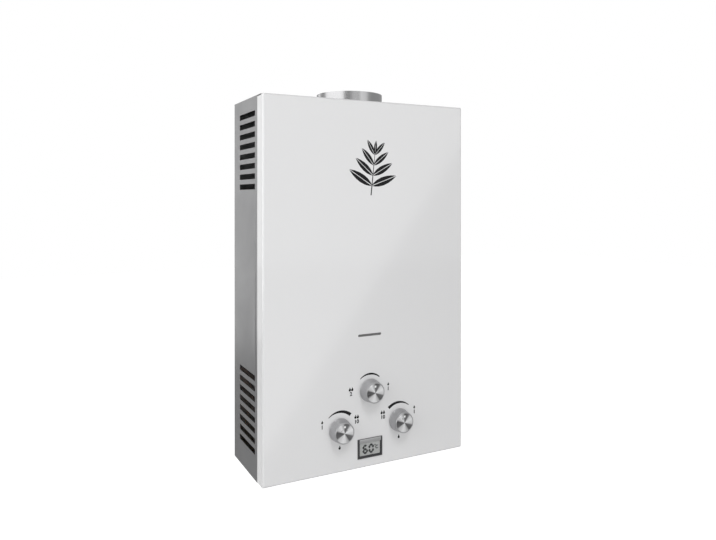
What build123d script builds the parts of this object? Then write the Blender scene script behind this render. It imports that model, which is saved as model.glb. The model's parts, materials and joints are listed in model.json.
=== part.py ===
from build123d import *
import math
import os

# Wall-hung instantaneous gas water heater, in millimetres.
# X runs to the viewer's right, Y into the wall, Z up. While drawing, z = 0 is the casing's
# underside and y = 0 the wall. Every piece is written with its origin midway between the two
# upper hanging holes, on the wall plane.

# Casing
CASE_W = 325.0
CASE_H = 530.0
CASE_D = 130.0
# The inner layout is set out in these steps, half a millimetre across and one up on the real casing.
WIDTH_STEP = CASE_W / 650
HEIGHT_STEP = CASE_H / 530
SHEET = 1.0
FRONT_SHEET = 1.2
FRONT_RETURN = 22.0
TOP_RETURN = 6.0
FRONT_EDGE_R = 3.0
SHEET_GAP = 0.2
SEAM_GAP = 0.3
LIP_DEPTH = 10.0
JOGGLE = 1.7
FLANGE = 12.0
BOTTOM_LIFT = 0.2
REAR_SETBACK = 0.5
BEAD_R = 2.0

# Hanging holes in the back plate
HANGER_BELOW_TOP = 60.0
HANGER_SPACING = 230.0
LOWER_HOLE_Z = 60.0
HANGER_HOLE_R = 4.0

# Side louvres
LOUVRE_COUNT = 8
LOUVRE_LENGTH = 71.0
LOUVRE_HEIGHT = 7.8
LOUVRE_PITCH = 14.5
LOUVRE_FRONT_Y = 32.0
LOUVRE_TOP_BELOW = 23.6
LOUVRE_BOTTOM_ABOVE = 38.6
LOUVRE_END_R = 1.5
LOUVRE_LIP_IN = 1.0
LOUVRE_LIP_RISE = 1.0

# Screws
SCREW_R = 1.9
SCREW_HEAD_R = 3.5
SCREW_HEAD_H = 2.0
SCREW_LENGTH = 5.0
SCREW_CLEAR = 0.1
SCREW_FRONT_GAP = 45.0
SCREW_BACK_GAP = 35.0

# Flue
FLUE_R = 50.0
FLUE_WALL = 1.0
FLUE_HEIGHT = 16.0
FLUE_FLANGE_R = FLUE_R + 4
FLUE_FLANGE_T = 1.0
FLUE_STEP = 1.7
FLUE_SPIGOT = 24.0
FLUE_BACK_SHIFT = 2.0
FLUE_Y = -CASE_D / 2 + FLUE_BACK_SHIFT
FLUE_HOLE_GAP = 0.2

# Combustion chamber and heat exchanger
CHAMBER_W = 400 * WIDTH_STEP
CHAMBER_FRONT_GAP = 23.0
CHAMBER_BACK_GAP = 19.0
CHAMBER_BOTTOM = 184.0
CHAMBER_TOP = 400 * HEIGHT_STEP
CHAMBER_H = CHAMBER_TOP - CHAMBER_BOTTOM
CHAMBER_STEP = CHAMBER_H / 216
CHAMBER_WALL = 1.0
CHAMBER_R = 14.0
CHAMBER_FLANGE = 4.0
TUBE_R = 6.0
TUBE_WALL = 0.8
TUBE_GAP = 0.3
TUBE_PITCH = 20.0
TUBE_ROWS = 4
TUBE_BELOW_TOP = 30 * CHAMBER_STEP
COIL_RISE = 40 * CHAMBER_STEP
COIL_ABOVE_BOTTOM = 56 * CHAMBER_STEP
FIN_COUNT = 40
FIN_T = 0.5
FIN_PITCH = 9.2 * WIDTH_STEP
FIN_BORE_GAP = 0.05
FIN_SIDE_GAP = 3.0
FIN_BELOW_TOP = 2.0
FIN_H = 2 * (TUBE_BELOW_TOP - FIN_BELOW_TOP)
HOOD_TOP_GAP = 18.0
HOOD_TOP_W = 280 * WIDTH_STEP
HOOD_TOP_MARGIN = 2.5
HOOD_WALL = 1.0
BRACKET_T = 1.5
BRACKET_W = 24.0
BRACKET_FOOT = 10.0
BRACKET_X = 140 * WIDTH_STEP
CUTOUT_R = 8.0
CUTOUT_H = 6.0

# Burner
TRAY_H = 38.0
TRAY_INSET = 2.0
TRAY_WALL = 1.0
BLADE_COUNT = 10
BLADE_PITCH = 38 * WIDTH_STEP
BLADE_T = 7.0
BLADE_DROP = 20.0
VENTURI_LIFT = 1.0
VENTURI_R = 6.0
VENTURI_BORE_R = 4.5
PORT_COUNT = 12
PORT_W = 1.4
PORT_DEPTH = 5.0
MANIFOLD_T = 12.0
MANIFOLD_H = 14.0
MANIFOLD_FRONT_GAP = 8.0
NOZZLE_R = 2.5
NOZZLE_HEX_R = 3.6

# Knobs and spindles
KNOB_BASE_R = 16.6
KNOB_FACE_R = 14.7
KNOB_PROUD = 17.5
KNOB_GAP = 1.0
KNOB_CAP_R = 13.4
KNOB_CAP_T = 1.2
KNOB_SIDE_X = 97 * WIDTH_STEP
KNOB_SIDE_Z = 61.0
KNOB_TOP_Z = 111.0
DIMPLE_R = 1.6
DIMPLE_DEPTH = 0.6
DIMPLE_AT = 9.3
SPINDLE_R = 3.0
SPINDLE_HOLE_R = 7.0
SPINDLE_DEPTH = 16.0
SPINDLE_IN_KNOB = KNOB_PROUD * 2 / 3
RUN_FIT = 0.05

# Display
DISPLAY_W = 40.0
DISPLAY_H = 28.0
DISPLAY_Z = 28.0
BEZEL_PROUD = 1.5
BEZEL_RIM = 2.6
LENS_T = 1.0
MODULE_DEPTH = 11.8
MODULE_BORDER = 3.0

# Flame-viewing slit
SLIT_W = 38.0
SLIT_H = 3.6
SLIT_Z = 191.0
SLIT_END_R = SLIT_H / 2.1
WINDOW_BORDER = 6.0

# Valve group, on one axis along X behind the two side knobs
VALVE_BACK_GAP = 56.0
VALVE_FRONT_GAP = 14.0
GAS_BODY_X = (-164 * WIDTH_STEP, -44 * WIDTH_STEP)
GAS_BODY_D = 60.0
GAS_BODY_H = 48.0
GAS_BODY_LIFT = 1.0
ROD_R = 3.0
ROD_TRAVEL = 4.0
SEAT_X = -120 * WIDTH_STEP
SEAT_R = 8.0
POPPET_R = 12.0
POPPET_T = 6.0
POPPET_CAVITY_R = 15.0
OUTLET_R = 10.0
OUTLET_X = -88 * WIDTH_STEP
CAP_T = 4.0
SPRING_R = 7.0
SPRING_WIRE_R = 0.6
SPRING_TURNS = 5
DIAPHRAGM_X = 14 * WIDTH_STEP
DIAPHRAGM_T = 2.0
DIAPHRAGM_R = 32.0
DIAPHRAGM_CAVITY_R = 21.5
DIAPHRAGM_PLATE_R = 20.0
DIAPHRAGM_PLATE_T = 4.0
FLANGE_T = 6.0
COVER_NOSE = 9.0
WATER_BODY_LENGTH = 138 * WIDTH_STEP
WATER_BODY_D = 52.0
WATER_BODY_H = 42.0
SOLENOID_R = 13.0
SOLENOID_LENGTH = 30.0
SOLENOID_X = -142 * WIDTH_STEP
PLUNGER_R = 3.5
PLUNGER_TRAVEL = 3.0
SEASON_W = 36.0
SEASON_D = 32.0

# Micro-switch beside the push rod
SWITCH_W = 12.0
SWITCH_D = 20.0
SWITCH_H = 12.0
LEVER_T = 1.0
LEVER_W = 8.0
LEVER_ARM = 10.5
LEVER_ABOVE_ROD = 16.0
LEVER_PIN_R = 1.5
SWITCH_EAR_T = 2.0
COLLAR_R = 6.0
COLLAR_T = 2.0

# Water and gas connections, half-inch parallel thread
THREAD_R = 10.48
CONNECTOR_BORE_R = 7.5
CONNECTOR_SHOULDER_R = 11.0
CONNECTOR_DROP = 19.0
LOCK_NUT_AF = 28.0
LOCK_NUT_T = 5.0
PLATE_HOLE_GAP = 0.5
COLD_X = 124 * WIDTH_STEP
HOT_X = -240 * WIDTH_STEP
DRAIN_X = 72 * WIDTH_STEP
DRAIN_R = 4.0
DRAIN_DROP = 18.0
DRAIN_REACH = 11.0
DRAIN_WING = 16.0
HOT_DROP_X = 28.7

# Battery ignition
CELL_R = 17.1
CELL_LENGTH = 60.0
CELL_NUB_R = 4.5
CELL_NUB_H = 1.5
BATTERY_WALL = 1.5
BATTERY_CLEAR = 1.5
BATTERY_SIDE_GAP = 14.5
BATTERY_FRONT_GAP = 28.0
DOOR_T = 2.4
DOOR_GAP = 0.3
DOOR_PIN_R = 1.0
IGNITER_W = 30.0
IGNITER_D = 36.0
IGNITER_H = 75.0
IGNITER_Z = 90.0
ELECTRODE_X = 60 * WIDTH_STEP
ELECTRODE_ABOVE_BOTTOM = 16.0
CERAMIC_R = 3.5
CERAMIC_LENGTH = 24.0
ELECTRODE_WIRE_R = 1.0
LEAD_R = 1.5
LEAD_BEND = 9.0
SEAT_GAP = 0.1

# Derived planes
HALF_W = CASE_W / 2
SIDE_IN = HALF_W - SHEET
FRONT_Y = -CASE_D
FRONT_IN = FRONT_Y + FRONT_SHEET
RETURN_Y = FRONT_Y + FRONT_RETURN
TOP_UNDER = CASE_H - SHEET
BOTTOM_UNDER = FRONT_SHEET + BOTTOM_LIFT
BOTTOM_TOP = BOTTOM_UNDER + SHEET
HANGER_Z = CASE_H - HANGER_BELOW_TOP
CHAMBER_FRONT = FRONT_Y + CHAMBER_FRONT_GAP
CHAMBER_BACK = -CHAMBER_BACK_GAP
CHAMBER_MID = (CHAMBER_FRONT + CHAMBER_BACK) / 2
CHAMBER_DEPTH = CHAMBER_BACK - CHAMBER_FRONT
HALF_CHAMBER = CHAMBER_W / 2
TUBE_OUT = TUBE_R + TUBE_GAP
TUBE_Z = CHAMBER_TOP - TUBE_BELOW_TOP
TUBE_ROW_Y = [CHAMBER_MID + TUBE_PITCH * ((TUBE_ROWS - 1) / 2 - i) for i in range(TUBE_ROWS)]
TRAY_BOTTOM = CHAMBER_BOTTOM - TRAY_H
MANIFOLD_Y0 = FRONT_Y + MANIFOLD_FRONT_GAP
MANIFOLD_Y1 = MANIFOLD_Y0 + MANIFOLD_T
VENTURI_Z = TRAY_BOTTOM - BLADE_DROP / 2 + VENTURI_LIFT
MANIFOLD_Z0 = VENTURI_Z - MANIFOLD_H / 2
ROD_Y = FRONT_Y + VALVE_BACK_GAP
ROD_Z = KNOB_SIDE_Z
VALVE_FRONT = FRONT_Y + VALVE_FRONT_GAP
GAS_Z0 = ROD_Z - GAS_BODY_H / 2 + GAS_BODY_LIFT
GAS_Z1 = GAS_Z0 + GAS_BODY_H
GAS_BACK = VALVE_FRONT + GAS_BODY_D
POPPET_CLOSED_X = SEAT_X - SEAT_GAP
POPPET_LEFT_X = POPPET_CLOSED_X - POPPET_T
WATER_X0 = DIAPHRAGM_X + DIAPHRAGM_T
WATER_X1 = WATER_X0 + FLANGE_T + WATER_BODY_LENGTH
WATER_Z0 = ROD_Z - WATER_BODY_H / 2
WATER_Z1 = ROD_Z + WATER_BODY_H / 2
COVER_X0 = DIAPHRAGM_X - FLANGE_T - COVER_NOSE
LEVER_Z = ROD_Z + LEVER_ABOVE_ROD
LEVER_X = (GAS_BODY_X[1] + COVER_X0) / 2
COLLAR_X = LEVER_X + LEVER_T / 2 + SEAM_GAP
BOX_X1 = HALF_W - BATTERY_SIDE_GAP
BOX_X0 = BOX_X1 - 2 * (CELL_R + BATTERY_CLEAR + BATTERY_WALL)
BOX_Y0 = FRONT_Y + BATTERY_FRONT_GAP
BOX_Y1 = BOX_Y0 + 4 * CELL_R + 3 * BATTERY_CLEAR + 2 * BATTERY_WALL
CELL_Z = DOOR_T + BATTERY_CLEAR
BOX_TOP = CELL_Z + CELL_LENGTH + CELL_NUB_H + SEAM_GAP + BATTERY_WALL
DOOR_AXIS_X = BOX_X0 + BATTERY_WALL + DOOR_GAP + DOOR_T / 2
ELECTRODE_Z = CHAMBER_BOTTOM + ELECTRODE_ABOVE_BOTTOM
HOT_TOP_X = -HALF_CHAMBER - TUBE_OUT - HOT_DROP_X
COLD_TUBE_X = HALF_CHAMBER + TUBE_OUT
KNOB_PLACES = {
    "gas": (-KNOB_SIDE_X, KNOB_SIDE_Z),
    "water": (KNOB_SIDE_X, KNOB_SIDE_Z),
    "season": (0.0, KNOB_TOP_Z),
}
SCREW_X = SIDE_IN - FLANGE / 2
SCREW_YS = (FRONT_Y + SCREW_FRONT_GAP, -SCREW_BACK_GAP)
PANEL_SCREW_X = 240 * WIDTH_STEP
PANEL_SCREW_Y = RETURN_Y - LIP_DEPTH / 2


def block(x0, x1, y0, y1, z0, z1):
    """Box between two corners."""
    return Pos((x0 + x1) / 2, (y0 + y1) / 2, (z0 + z1) / 2) * Box(x1 - x0, y1 - y0, z1 - z0)


def rod_x(radius, x0, x1, y, z):
    """Round bar along X."""
    return Pos((x0 + x1) / 2, y, z) * Rot(0, 90, 0) * Cylinder(radius, x1 - x0)


def rod_y(radius, x, y0, y1, z):
    """Round bar along Y."""
    return Pos(x, (y0 + y1) / 2, z) * Rot(90, 0, 0) * Cylinder(radius, y1 - y0)


def rod_z(radius, x, y, z0, z1):
    """Round bar along Z."""
    return Pos(x, y, (z0 + z1) / 2) * Cylinder(radius, z1 - z0)


def slot_cut(width, height, corner, depth):
    """Rounded slot standing in XZ, cut along Y about the origin."""
    return extrude(Plane.XZ * RectangleRounded(width, height, corner), depth / 2, both=True)


def rounded_prism(width, depth, corner, z0, z1, y_mid):
    """Upright prism of rounded plan."""
    return extrude(Plane.XY.offset(z0) * Pos(0, y_mid) * RectangleRounded(width, depth, corner), z1 - z0)


def hex_nut(across_flats, x, y, z0, z1, bore_r):
    """Hexagon nut standing on Z."""
    plan = RegularPolygon(across_flats / 2, 6, major_radius=False) - Circle(bore_r)
    return Pos(x, y, z0) * extrude(plan, z1 - z0)


def bent_tube(points, radii, outer_r, inner_r=0.0):
    """Tube along straight runs joined by tangent arcs."""
    path = FilletPolyline(*points, radius=radii)
    ring = Circle(outer_r) - Circle(inner_r) if inner_r > 0 else Circle(outer_r)
    return sweep(Plane(origin=path @ 0, z_dir=path % 0) * ring, path)


def cut_all(solid, tools):
    """Solid with every tool taken out of it."""
    for tool in tools:
        solid -= tool
    return solid


def louvre_heights():
    """Slot centres of the upper and lower groups."""
    upper = [CASE_H - LOUVRE_TOP_BELOW - i * LOUVRE_PITCH for i in range(LOUVRE_COUNT)]
    lower = [LOUVRE_BOTTOM_ABOVE + i * LOUVRE_PITCH for i in range(LOUVRE_COUNT)]
    return upper + lower


def back_plate():
    """Wall plate with side flanges, stiffening beads and four hanging holes."""
    plate = block(-SIDE_IN, SIDE_IN, -SHEET, 0, 0, TOP_UNDER)
    for side in (-1, 1):
        outer, inner = side * SIDE_IN, side * (SIDE_IN - SHEET)
        plate += block(min(outer, inner), max(outer, inner), -SHEET - FLANGE, 0, FLANGE, TOP_UNDER - FLANGE)
    for z in (TRAY_BOTTOM, CHAMBER_TOP + HANGER_BELOW_TOP / 3):
        bead = rod_x(BEAD_R, -HANGER_SPACING / 2, HANGER_SPACING / 2, -SHEET, z)
        plate += bead - block(-HALF_W, HALF_W, -SHEET, BEAD_R, z - BEAD_R, z + BEAD_R)
    for z in (HANGER_Z, LOWER_HOLE_Z):
        for side in (-1, 1):
            plate -= rod_y(HANGER_HOLE_R, side * HANGER_SPACING / 2, -2 * SHEET, SHEET, z)
    return plate


def side_panel(side):
    """Side sheet with joggled front lip, inward flanges and two groups of louvres."""
    front = RETURN_Y + SEAM_GAP
    lip_out = HALF_W - FRONT_SHEET - SHEET_GAP
    lip_in = lip_out - SHEET
    panel = block(SIDE_IN, HALF_W, front, -REAR_SETBACK, 0, TOP_UNDER)
    panel += block(lip_in, HALF_W, front, front + JOGGLE, FLANGE, TOP_UNDER - FLANGE)
    panel += block(lip_in, lip_out, RETURN_Y - LIP_DEPTH, front + JOGGLE, FLANGE, TOP_UNDER - FLANGE)
    flange_y = (front + FLANGE, -2 * FLANGE)
    panel += block(SIDE_IN - FLANGE, HALF_W, *flange_y, TOP_UNDER - SHEET, TOP_UNDER)
    panel += block(SIDE_IN - FLANGE, HALF_W, *flange_y, BOTTOM_TOP, BOTTOM_TOP + SHEET)
    slot_y = FRONT_Y + LOUVRE_FRONT_Y + LOUVRE_LENGTH / 2
    slot = Rot(0, 0, 90) * slot_cut(LOUVRE_LENGTH, LOUVRE_HEIGHT, LOUVRE_END_R, 4 * SHEET)
    for z in louvre_heights():
        panel -= Pos(HALF_W, slot_y, z) * slot
        low = z - LOUVRE_HEIGHT / 2
        lip = Polygon(
            (HALF_W - SHEET / 2, low - SHEET),
            (HALF_W - SHEET / 2, low),
            (SIDE_IN - LOUVRE_LIP_IN, low + LOUVRE_LIP_RISE),
            (SIDE_IN - LOUVRE_LIP_IN, low + LOUVRE_LIP_RISE - SHEET),
            align=None,
        )
        lip_length = LOUVRE_LENGTH - 2 * LOUVRE_END_R
        panel += Pos(0, slot_y + lip_length / 2, 0) * extrude(Plane.XZ * lip, lip_length)
    for y in SCREW_YS:
        panel -= rod_z(SCREW_R + SCREW_CLEAR, SCREW_X, y, TOP_UNDER - 2 * SHEET, CASE_H)
        panel -= rod_z(SCREW_R + SCREW_CLEAR, SCREW_X, y, 0, BOTTOM_TOP + 2 * SHEET)
    return panel if side > 0 else mirror(panel, Plane.YZ)


def top_panel():
    """Flat top with the flue hole."""
    plate = block(-HALF_W, HALF_W, FRONT_Y + TOP_RETURN + SHEET_GAP, 0, TOP_UNDER, CASE_H)
    plate -= rod_z(FLUE_R - FLUE_STEP + FLUE_HOLE_GAP, 0, FLUE_Y, TOP_UNDER - SHEET, CASE_H + SHEET)
    for x in (-SCREW_X, SCREW_X):
        for y in SCREW_YS:
            plate -= rod_z(SCREW_R + SCREW_CLEAR, x, y, TOP_UNDER - SHEET, CASE_H + SHEET)
    return plate


def bottom_plate():
    """Floor of the casing, with holes for the connections, drain and battery box."""
    plate = block(-SIDE_IN, SIDE_IN, RETURN_Y + SEAM_GAP, -SHEET, BOTTOM_UNDER, BOTTOM_TOP)
    tongue_x = HALF_W - FRONT_SHEET - SHEET_GAP
    plate += block(-tongue_x, tongue_x, RETURN_Y - LIP_DEPTH, RETURN_Y + SHEET, BOTTOM_UNDER, BOTTOM_TOP)
    low, high = BOTTOM_UNDER - SHEET, BOTTOM_TOP + SHEET
    for x in (COLD_X, HOT_X, SOLENOID_X):
        plate -= rod_z(CONNECTOR_SHOULDER_R + PLATE_HOLE_GAP, x, ROD_Y, low, high)
    plate -= rod_z(DRAIN_R + PLATE_HOLE_GAP, DRAIN_X, ROD_Y, low, high)
    gap = PLATE_HOLE_GAP
    plate -= block(BOX_X0 - gap, BOX_X1 + gap, BOX_Y0 - gap, BOX_Y1 + gap, low, high)
    for side in (-1, 1):
        plate -= rod_z(SCREW_R + SCREW_CLEAR, side * PANEL_SCREW_X, PANEL_SCREW_Y, low, high)
        for y in SCREW_YS:
            plate -= rod_z(SCREW_R + SCREW_CLEAR, side * SCREW_X, y, low, high)
    return plate


def front_panel():
    """Front cover: a shallow pressed tray with short top return, knob holes, display window and slit."""
    outer = block(-HALF_W, HALF_W, FRONT_Y, RETURN_Y, 0, CASE_H)
    outer = fillet(outer.faces().sort_by(Axis.Y)[0].edges(), FRONT_EDGE_R)
    upright = [e for e in outer.edges().filter_by(Axis.Y) if e.length > FRONT_RETURN / 2]
    outer = fillet(upright, FRONT_EDGE_R / 2)
    inner_x = HALF_W - FRONT_SHEET
    hollow = block(-inner_x, inner_x, FRONT_IN, RETURN_Y + SHEET, FRONT_SHEET, CASE_H - FRONT_SHEET)
    hollow = fillet(hollow.faces().sort_by(Axis.Y)[0].edges(), FRONT_EDGE_R - FRONT_SHEET)
    tray = outer - hollow
    tray -= block(-HALF_W, HALF_W, FRONT_Y + TOP_RETURN, RETURN_Y + SHEET, TOP_UNDER - SHEET, CASE_H + SHEET)
    for x, z in KNOB_PLACES.values():
        tray -= rod_y(SPINDLE_HOLE_R, x, FRONT_Y - SHEET, FRONT_IN + SHEET, z)
    inset = 2 * SHEET
    tray -= block(
        -DISPLAY_W / 2 + inset,
        DISPLAY_W / 2 - inset,
        FRONT_Y - SHEET,
        FRONT_IN + SHEET,
        DISPLAY_Z - DISPLAY_H / 2 + inset,
        DISPLAY_Z + DISPLAY_H / 2 - inset,
    )
    tray -= Pos(0, FRONT_Y, SLIT_Z) * slot_cut(SLIT_W, SLIT_H, SLIT_END_R, 4 * FRONT_SHEET)
    for side in (-1, 1):
        tray -= rod_z(SCREW_R + SCREW_CLEAR, side * PANEL_SCREW_X, PANEL_SCREW_Y, -SHEET, 2 * FRONT_SHEET)
    return tray


def screw(x, y, seat_z, up):
    """Pan-head screw; its head sits on seat_z and its shank runs away from it."""
    head_z = (seat_z, seat_z + SCREW_HEAD_H) if up else (seat_z - SCREW_HEAD_H, seat_z)
    shank_z = (seat_z - SCREW_LENGTH, seat_z) if up else (seat_z, seat_z + SCREW_LENGTH)
    head = rod_z(SCREW_HEAD_R, x, y, *head_z)
    outer_face = head.faces().sort_by(Axis.Z)[-1 if up else 0]
    head = fillet(outer_face.edges(), SCREW_HEAD_H / 2)
    return head + rod_z(SCREW_R, x, y, *shank_z)


def casing_screws():
    """Screws that hold the top and bottom to the side flanges, and two under the front cover."""
    places = [(x, y) for x in (-SCREW_X, SCREW_X) for y in SCREW_YS]
    upper = [screw(x, y, CASE_H, True) for x, y in places]
    lower = [screw(x, y, BOTTOM_UNDER, False) for x, y in places]
    cover = [screw(side * PANEL_SCREW_X, PANEL_SCREW_Y, 0, False) for side in (-1, 1)]
    return upper + lower + cover


def flue_collar():
    """Turned collar: spigot into the hood, seat flange and outlet ring for the flue pipe."""
    spigot_r = FLUE_R - FLUE_STEP
    top = CASE_H + FLUE_HEIGHT
    profile = Polygon(
        (spigot_r - FLUE_WALL, CASE_H - FLUE_SPIGOT),
        (spigot_r, CASE_H - FLUE_SPIGOT),
        (spigot_r, CASE_H),
        (FLUE_FLANGE_R, CASE_H),
        (FLUE_FLANGE_R, CASE_H + FLUE_FLANGE_T),
        (FLUE_R, CASE_H + FLUE_FLANGE_T),
        (FLUE_R, top),
        (FLUE_R - FLUE_WALL, top),
        (FLUE_R - FLUE_WALL, CASE_H + 2 * FLUE_FLANGE_T),
        (spigot_r - FLUE_WALL, CASE_H + FLUE_FLANGE_T / 3),
        align=None,
    )
    return Pos(0, FLUE_Y, 0) * revolve(Plane.XZ * profile, Axis.Z)


def view_window():
    """Heat-proof glass strip behind the viewing slit."""
    half_w = SLIT_W / 2 + WINDOW_BORDER
    half_h = SLIT_H / 2 + WINDOW_BORDER
    return block(-half_w, half_w, FRONT_IN, FRONT_IN + SHEET, SLIT_Z - half_h, SLIT_Z + half_h)


def draught_hood():
    """Hollow tapered hood that gathers the flue gas under the collar."""
    hood_top = CASE_H - HOOD_TOP_GAP
    top_depth = 2 * (FLUE_R - FLUE_STEP + FLUE_HOLE_GAP + HOOD_TOP_MARGIN)
    foot = (CHAMBER_W, CHAMBER_DEPTH + 2 * CHAMBER_FLANGE)

    def taper(z0, z1, inset):
        low = Pos(0, CHAMBER_MID, z0) * Rectangle(foot[0] - inset, foot[1] - inset)
        high = Pos(0, FLUE_Y, z1) * Rectangle(HOOD_TOP_W - inset, top_depth - inset)
        return loft([low, high])

    hood = taper(CHAMBER_TOP, hood_top, 0) - taper(CHAMBER_TOP, hood_top - HOOD_WALL, 2 * HOOD_WALL)
    hole_r = FLUE_R - FLUE_STEP + FLUE_HOLE_GAP
    return hood - rod_z(hole_r, 0, FLUE_Y, hood_top - 2 * HOOD_WALL, hood_top + HOOD_WALL)


def combustion_chamber():
    """Copper firebox with end flanges, tube holes, viewing slot and electrode holes."""
    outer_r, wall = CHAMBER_R, CHAMBER_WALL
    box = rounded_prism(CHAMBER_W, CHAMBER_DEPTH, outer_r, CHAMBER_BOTTOM, CHAMBER_TOP, CHAMBER_MID)
    for z in (CHAMBER_BOTTOM, CHAMBER_TOP - wall):
        for y in (CHAMBER_FRONT, CHAMBER_BACK):
            half = HALF_CHAMBER - outer_r
            box += block(-half, half, y - CHAMBER_FLANGE, y + CHAMBER_FLANGE, z, z + wall)
    hollow_w, hollow_d = CHAMBER_W - 2 * wall, CHAMBER_DEPTH - 2 * wall
    box -= rounded_prism(
        hollow_w, hollow_d, outer_r - wall, CHAMBER_BOTTOM - wall, CHAMBER_TOP + wall, CHAMBER_MID
    )
    for y in TUBE_ROW_Y:
        box -= rod_x(TUBE_R + FIN_BORE_GAP, -CHAMBER_W, CHAMBER_W, y, TUBE_Z)
    box -= Pos(0, CHAMBER_FRONT, SLIT_Z) * slot_cut(SLIT_W, SLIT_H, SLIT_END_R, 4 * wall)
    for x in (-ELECTRODE_X, ELECTRODE_X):
        box -= rod_y(CERAMIC_R + RUN_FIT, x, CHAMBER_FRONT - wall, CHAMBER_FRONT + 2 * wall, ELECTRODE_Z)
    return box


def fin_block():
    """Thin copper fins that the finned rows of the tube pass through."""
    fins = []
    inset = CHAMBER_WALL + FIN_SIDE_GAP
    z1 = CHAMBER_TOP - FIN_BELOW_TOP
    for i in range(FIN_COUNT):
        x = FIN_PITCH * (i - (FIN_COUNT - 1) / 2)
        fin = block(
            x - FIN_T / 2, x + FIN_T / 2, CHAMBER_FRONT + inset, CHAMBER_BACK - inset, z1 - FIN_H, z1
        )
        holes = [rod_x(TUBE_R + FIN_BORE_GAP, x - FIN_T, x + FIN_T, y, TUBE_Z) for y in TUBE_ROW_Y]
        fins.append(cut_all(fin, holes))
    return fins


def exchanger_tube():
    """One copper tube: three turns round the chamber, then the finned rows."""
    x = COLD_TUBE_X
    y_front, y_back = CHAMBER_FRONT - TUBE_OUT, CHAMBER_BACK + TUBE_OUT
    z1 = CHAMBER_BOTTOM + COIL_ABOVE_BOTTOM
    z2, z3 = z1 + COIL_RISE, z1 + 2 * COIL_RISE
    corner = CHAMBER_R + TUBE_OUT
    u_bend = TUBE_PITCH / 2 - SEAT_GAP
    turn_x = HALF_CHAMBER + TUBE_PITCH
    riser_x = -turn_x + TUBE_GAP
    points = [
        (x, CHAMBER_MID, CHAMBER_BOTTOM + 2 * TUBE_R),
        (x, CHAMBER_MID, z1),
        (x, y_front, z1),
        (-x, y_front, z1),
        (-x, y_back, z2),
        (x, y_back, z2),
        (x, y_front, z3),
        (-x, y_front, z3),
        (riser_x, TUBE_ROW_Y[0], z3 + TUBE_R),
        (riser_x, TUBE_ROW_Y[0], TUBE_Z),
    ]
    radii = [CHAMBER_R] + 6 * [corner] + [CHAMBER_R, 2 * TUBE_R]
    for i in range(TUBE_ROWS - 1):
        end_x = turn_x if i % 2 == 0 else -turn_x
        points += [(end_x, TUBE_ROW_Y[i], TUBE_Z), (end_x, TUBE_ROW_Y[i + 1], TUBE_Z)]
        radii += [u_bend, u_bend]
    points += [(HOT_TOP_X, TUBE_ROW_Y[-1], TUBE_Z), (HOT_TOP_X, TUBE_ROW_Y[-1], TUBE_Z - COIL_RISE)]
    radii += [2 * TUBE_R]
    return bent_tube(points, radii, TUBE_R, TUBE_R - TUBE_WALL)


def chamber_brackets():
    """Four Z-shaped brackets that carry the chamber on the back plate."""
    made = []
    for x in (-BRACKET_X, BRACKET_X):
        for z in (CHAMBER_BOTTOM + COIL_ABOVE_BOTTOM / 2, TUBE_Z - FIN_H / 2):
            half = BRACKET_W / 2
            web = block(x - half, x + half, CHAMBER_BACK, -SHEET, z, z + BRACKET_T)
            wall_foot = block(x - half, x + half, -SHEET - BRACKET_T, -SHEET, z - BRACKET_FOOT, z)
            box_foot = block(x - half, x + half, CHAMBER_BACK, CHAMBER_BACK + BRACKET_T, z, z + BRACKET_FOOT)
            made.append(web + wall_foot + box_foot)
    return made


def overheat_cutout():
    """Button thermostat on the chamber's front wall."""
    z = CHAMBER_BOTTOM + COIL_ABOVE_BOTTOM + COIL_RISE
    plate = block(
        -2 * CUTOUT_R, 2 * CUTOUT_R, CHAMBER_FRONT - SHEET, CHAMBER_FRONT, z - CUTOUT_R, z + CUTOUT_R
    )
    return plate + rod_y(CUTOUT_R, 0, CHAMBER_FRONT - SHEET - CUTOUT_H, CHAMBER_FRONT, z)


def blade_places():
    """X of each burner blade."""
    return [BLADE_PITCH * (i - (BLADE_COUNT - 1) / 2) for i in range(BLADE_COUNT)]


def burner_tray():
    """Open frame under the chamber that holds the burner blades between its front and rear walls."""
    half_x = HALF_CHAMBER - TRAY_INSET
    y0, y1 = CHAMBER_FRONT + TRAY_INSET, CHAMBER_BACK - TRAY_INSET
    wall = TRAY_WALL
    tray = block(-half_x, half_x, y0, y1, TRAY_BOTTOM, CHAMBER_BOTTOM)
    flange_y0, flange_y1 = CHAMBER_FRONT - CHAMBER_FLANGE, CHAMBER_BACK + CHAMBER_FLANGE
    tray += block(
        -HALF_CHAMBER, HALF_CHAMBER, flange_y0, flange_y1, CHAMBER_BOTTOM - wall, CHAMBER_BOTTOM
    )
    return tray - block(
        -half_x + wall, half_x - wall, y0 + wall, y1 - wall, TRAY_BOTTOM - wall, CHAMBER_BOTTOM + wall
    )


def burner_blades():
    """Slotted blade burners with a round mixing throat below."""
    y0, y1 = CHAMBER_FRONT + TRAY_INSET + TRAY_WALL, CHAMBER_BACK - TRAY_INSET - TRAY_WALL
    z1 = CHAMBER_BOTTOM - TRAY_WALL
    made = []
    for x in blade_places():
        half = BLADE_T / 2
        blade = block(x - half, x + half, y0, y1, TRAY_BOTTOM + TRAY_WALL, z1)
        throat_end = y0 + (y1 - y0) * 3 / 4
        blade += rod_y(VENTURI_R, x, y0, throat_end, VENTURI_Z)
        blade += block(x - half, x + half, CHAMBER_MID, throat_end, VENTURI_Z, TRAY_BOTTOM + 2 * TRAY_WALL)
        blade -= rod_y(VENTURI_BORE_R, x, y0 - TRAY_WALL, CHAMBER_MID, VENTURI_Z)
        port_pitch = (y1 - y0) / PORT_COUNT
        for i in range(PORT_COUNT):
            y = y0 + port_pitch * (i + 0.5)
            blade -= block(
                x - half / 2, x + half / 2, y - PORT_W / 2, y + PORT_W / 2, z1 - PORT_DEPTH, z1 + TRAY_WALL
            )
        made.append(blade)
    return made


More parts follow.
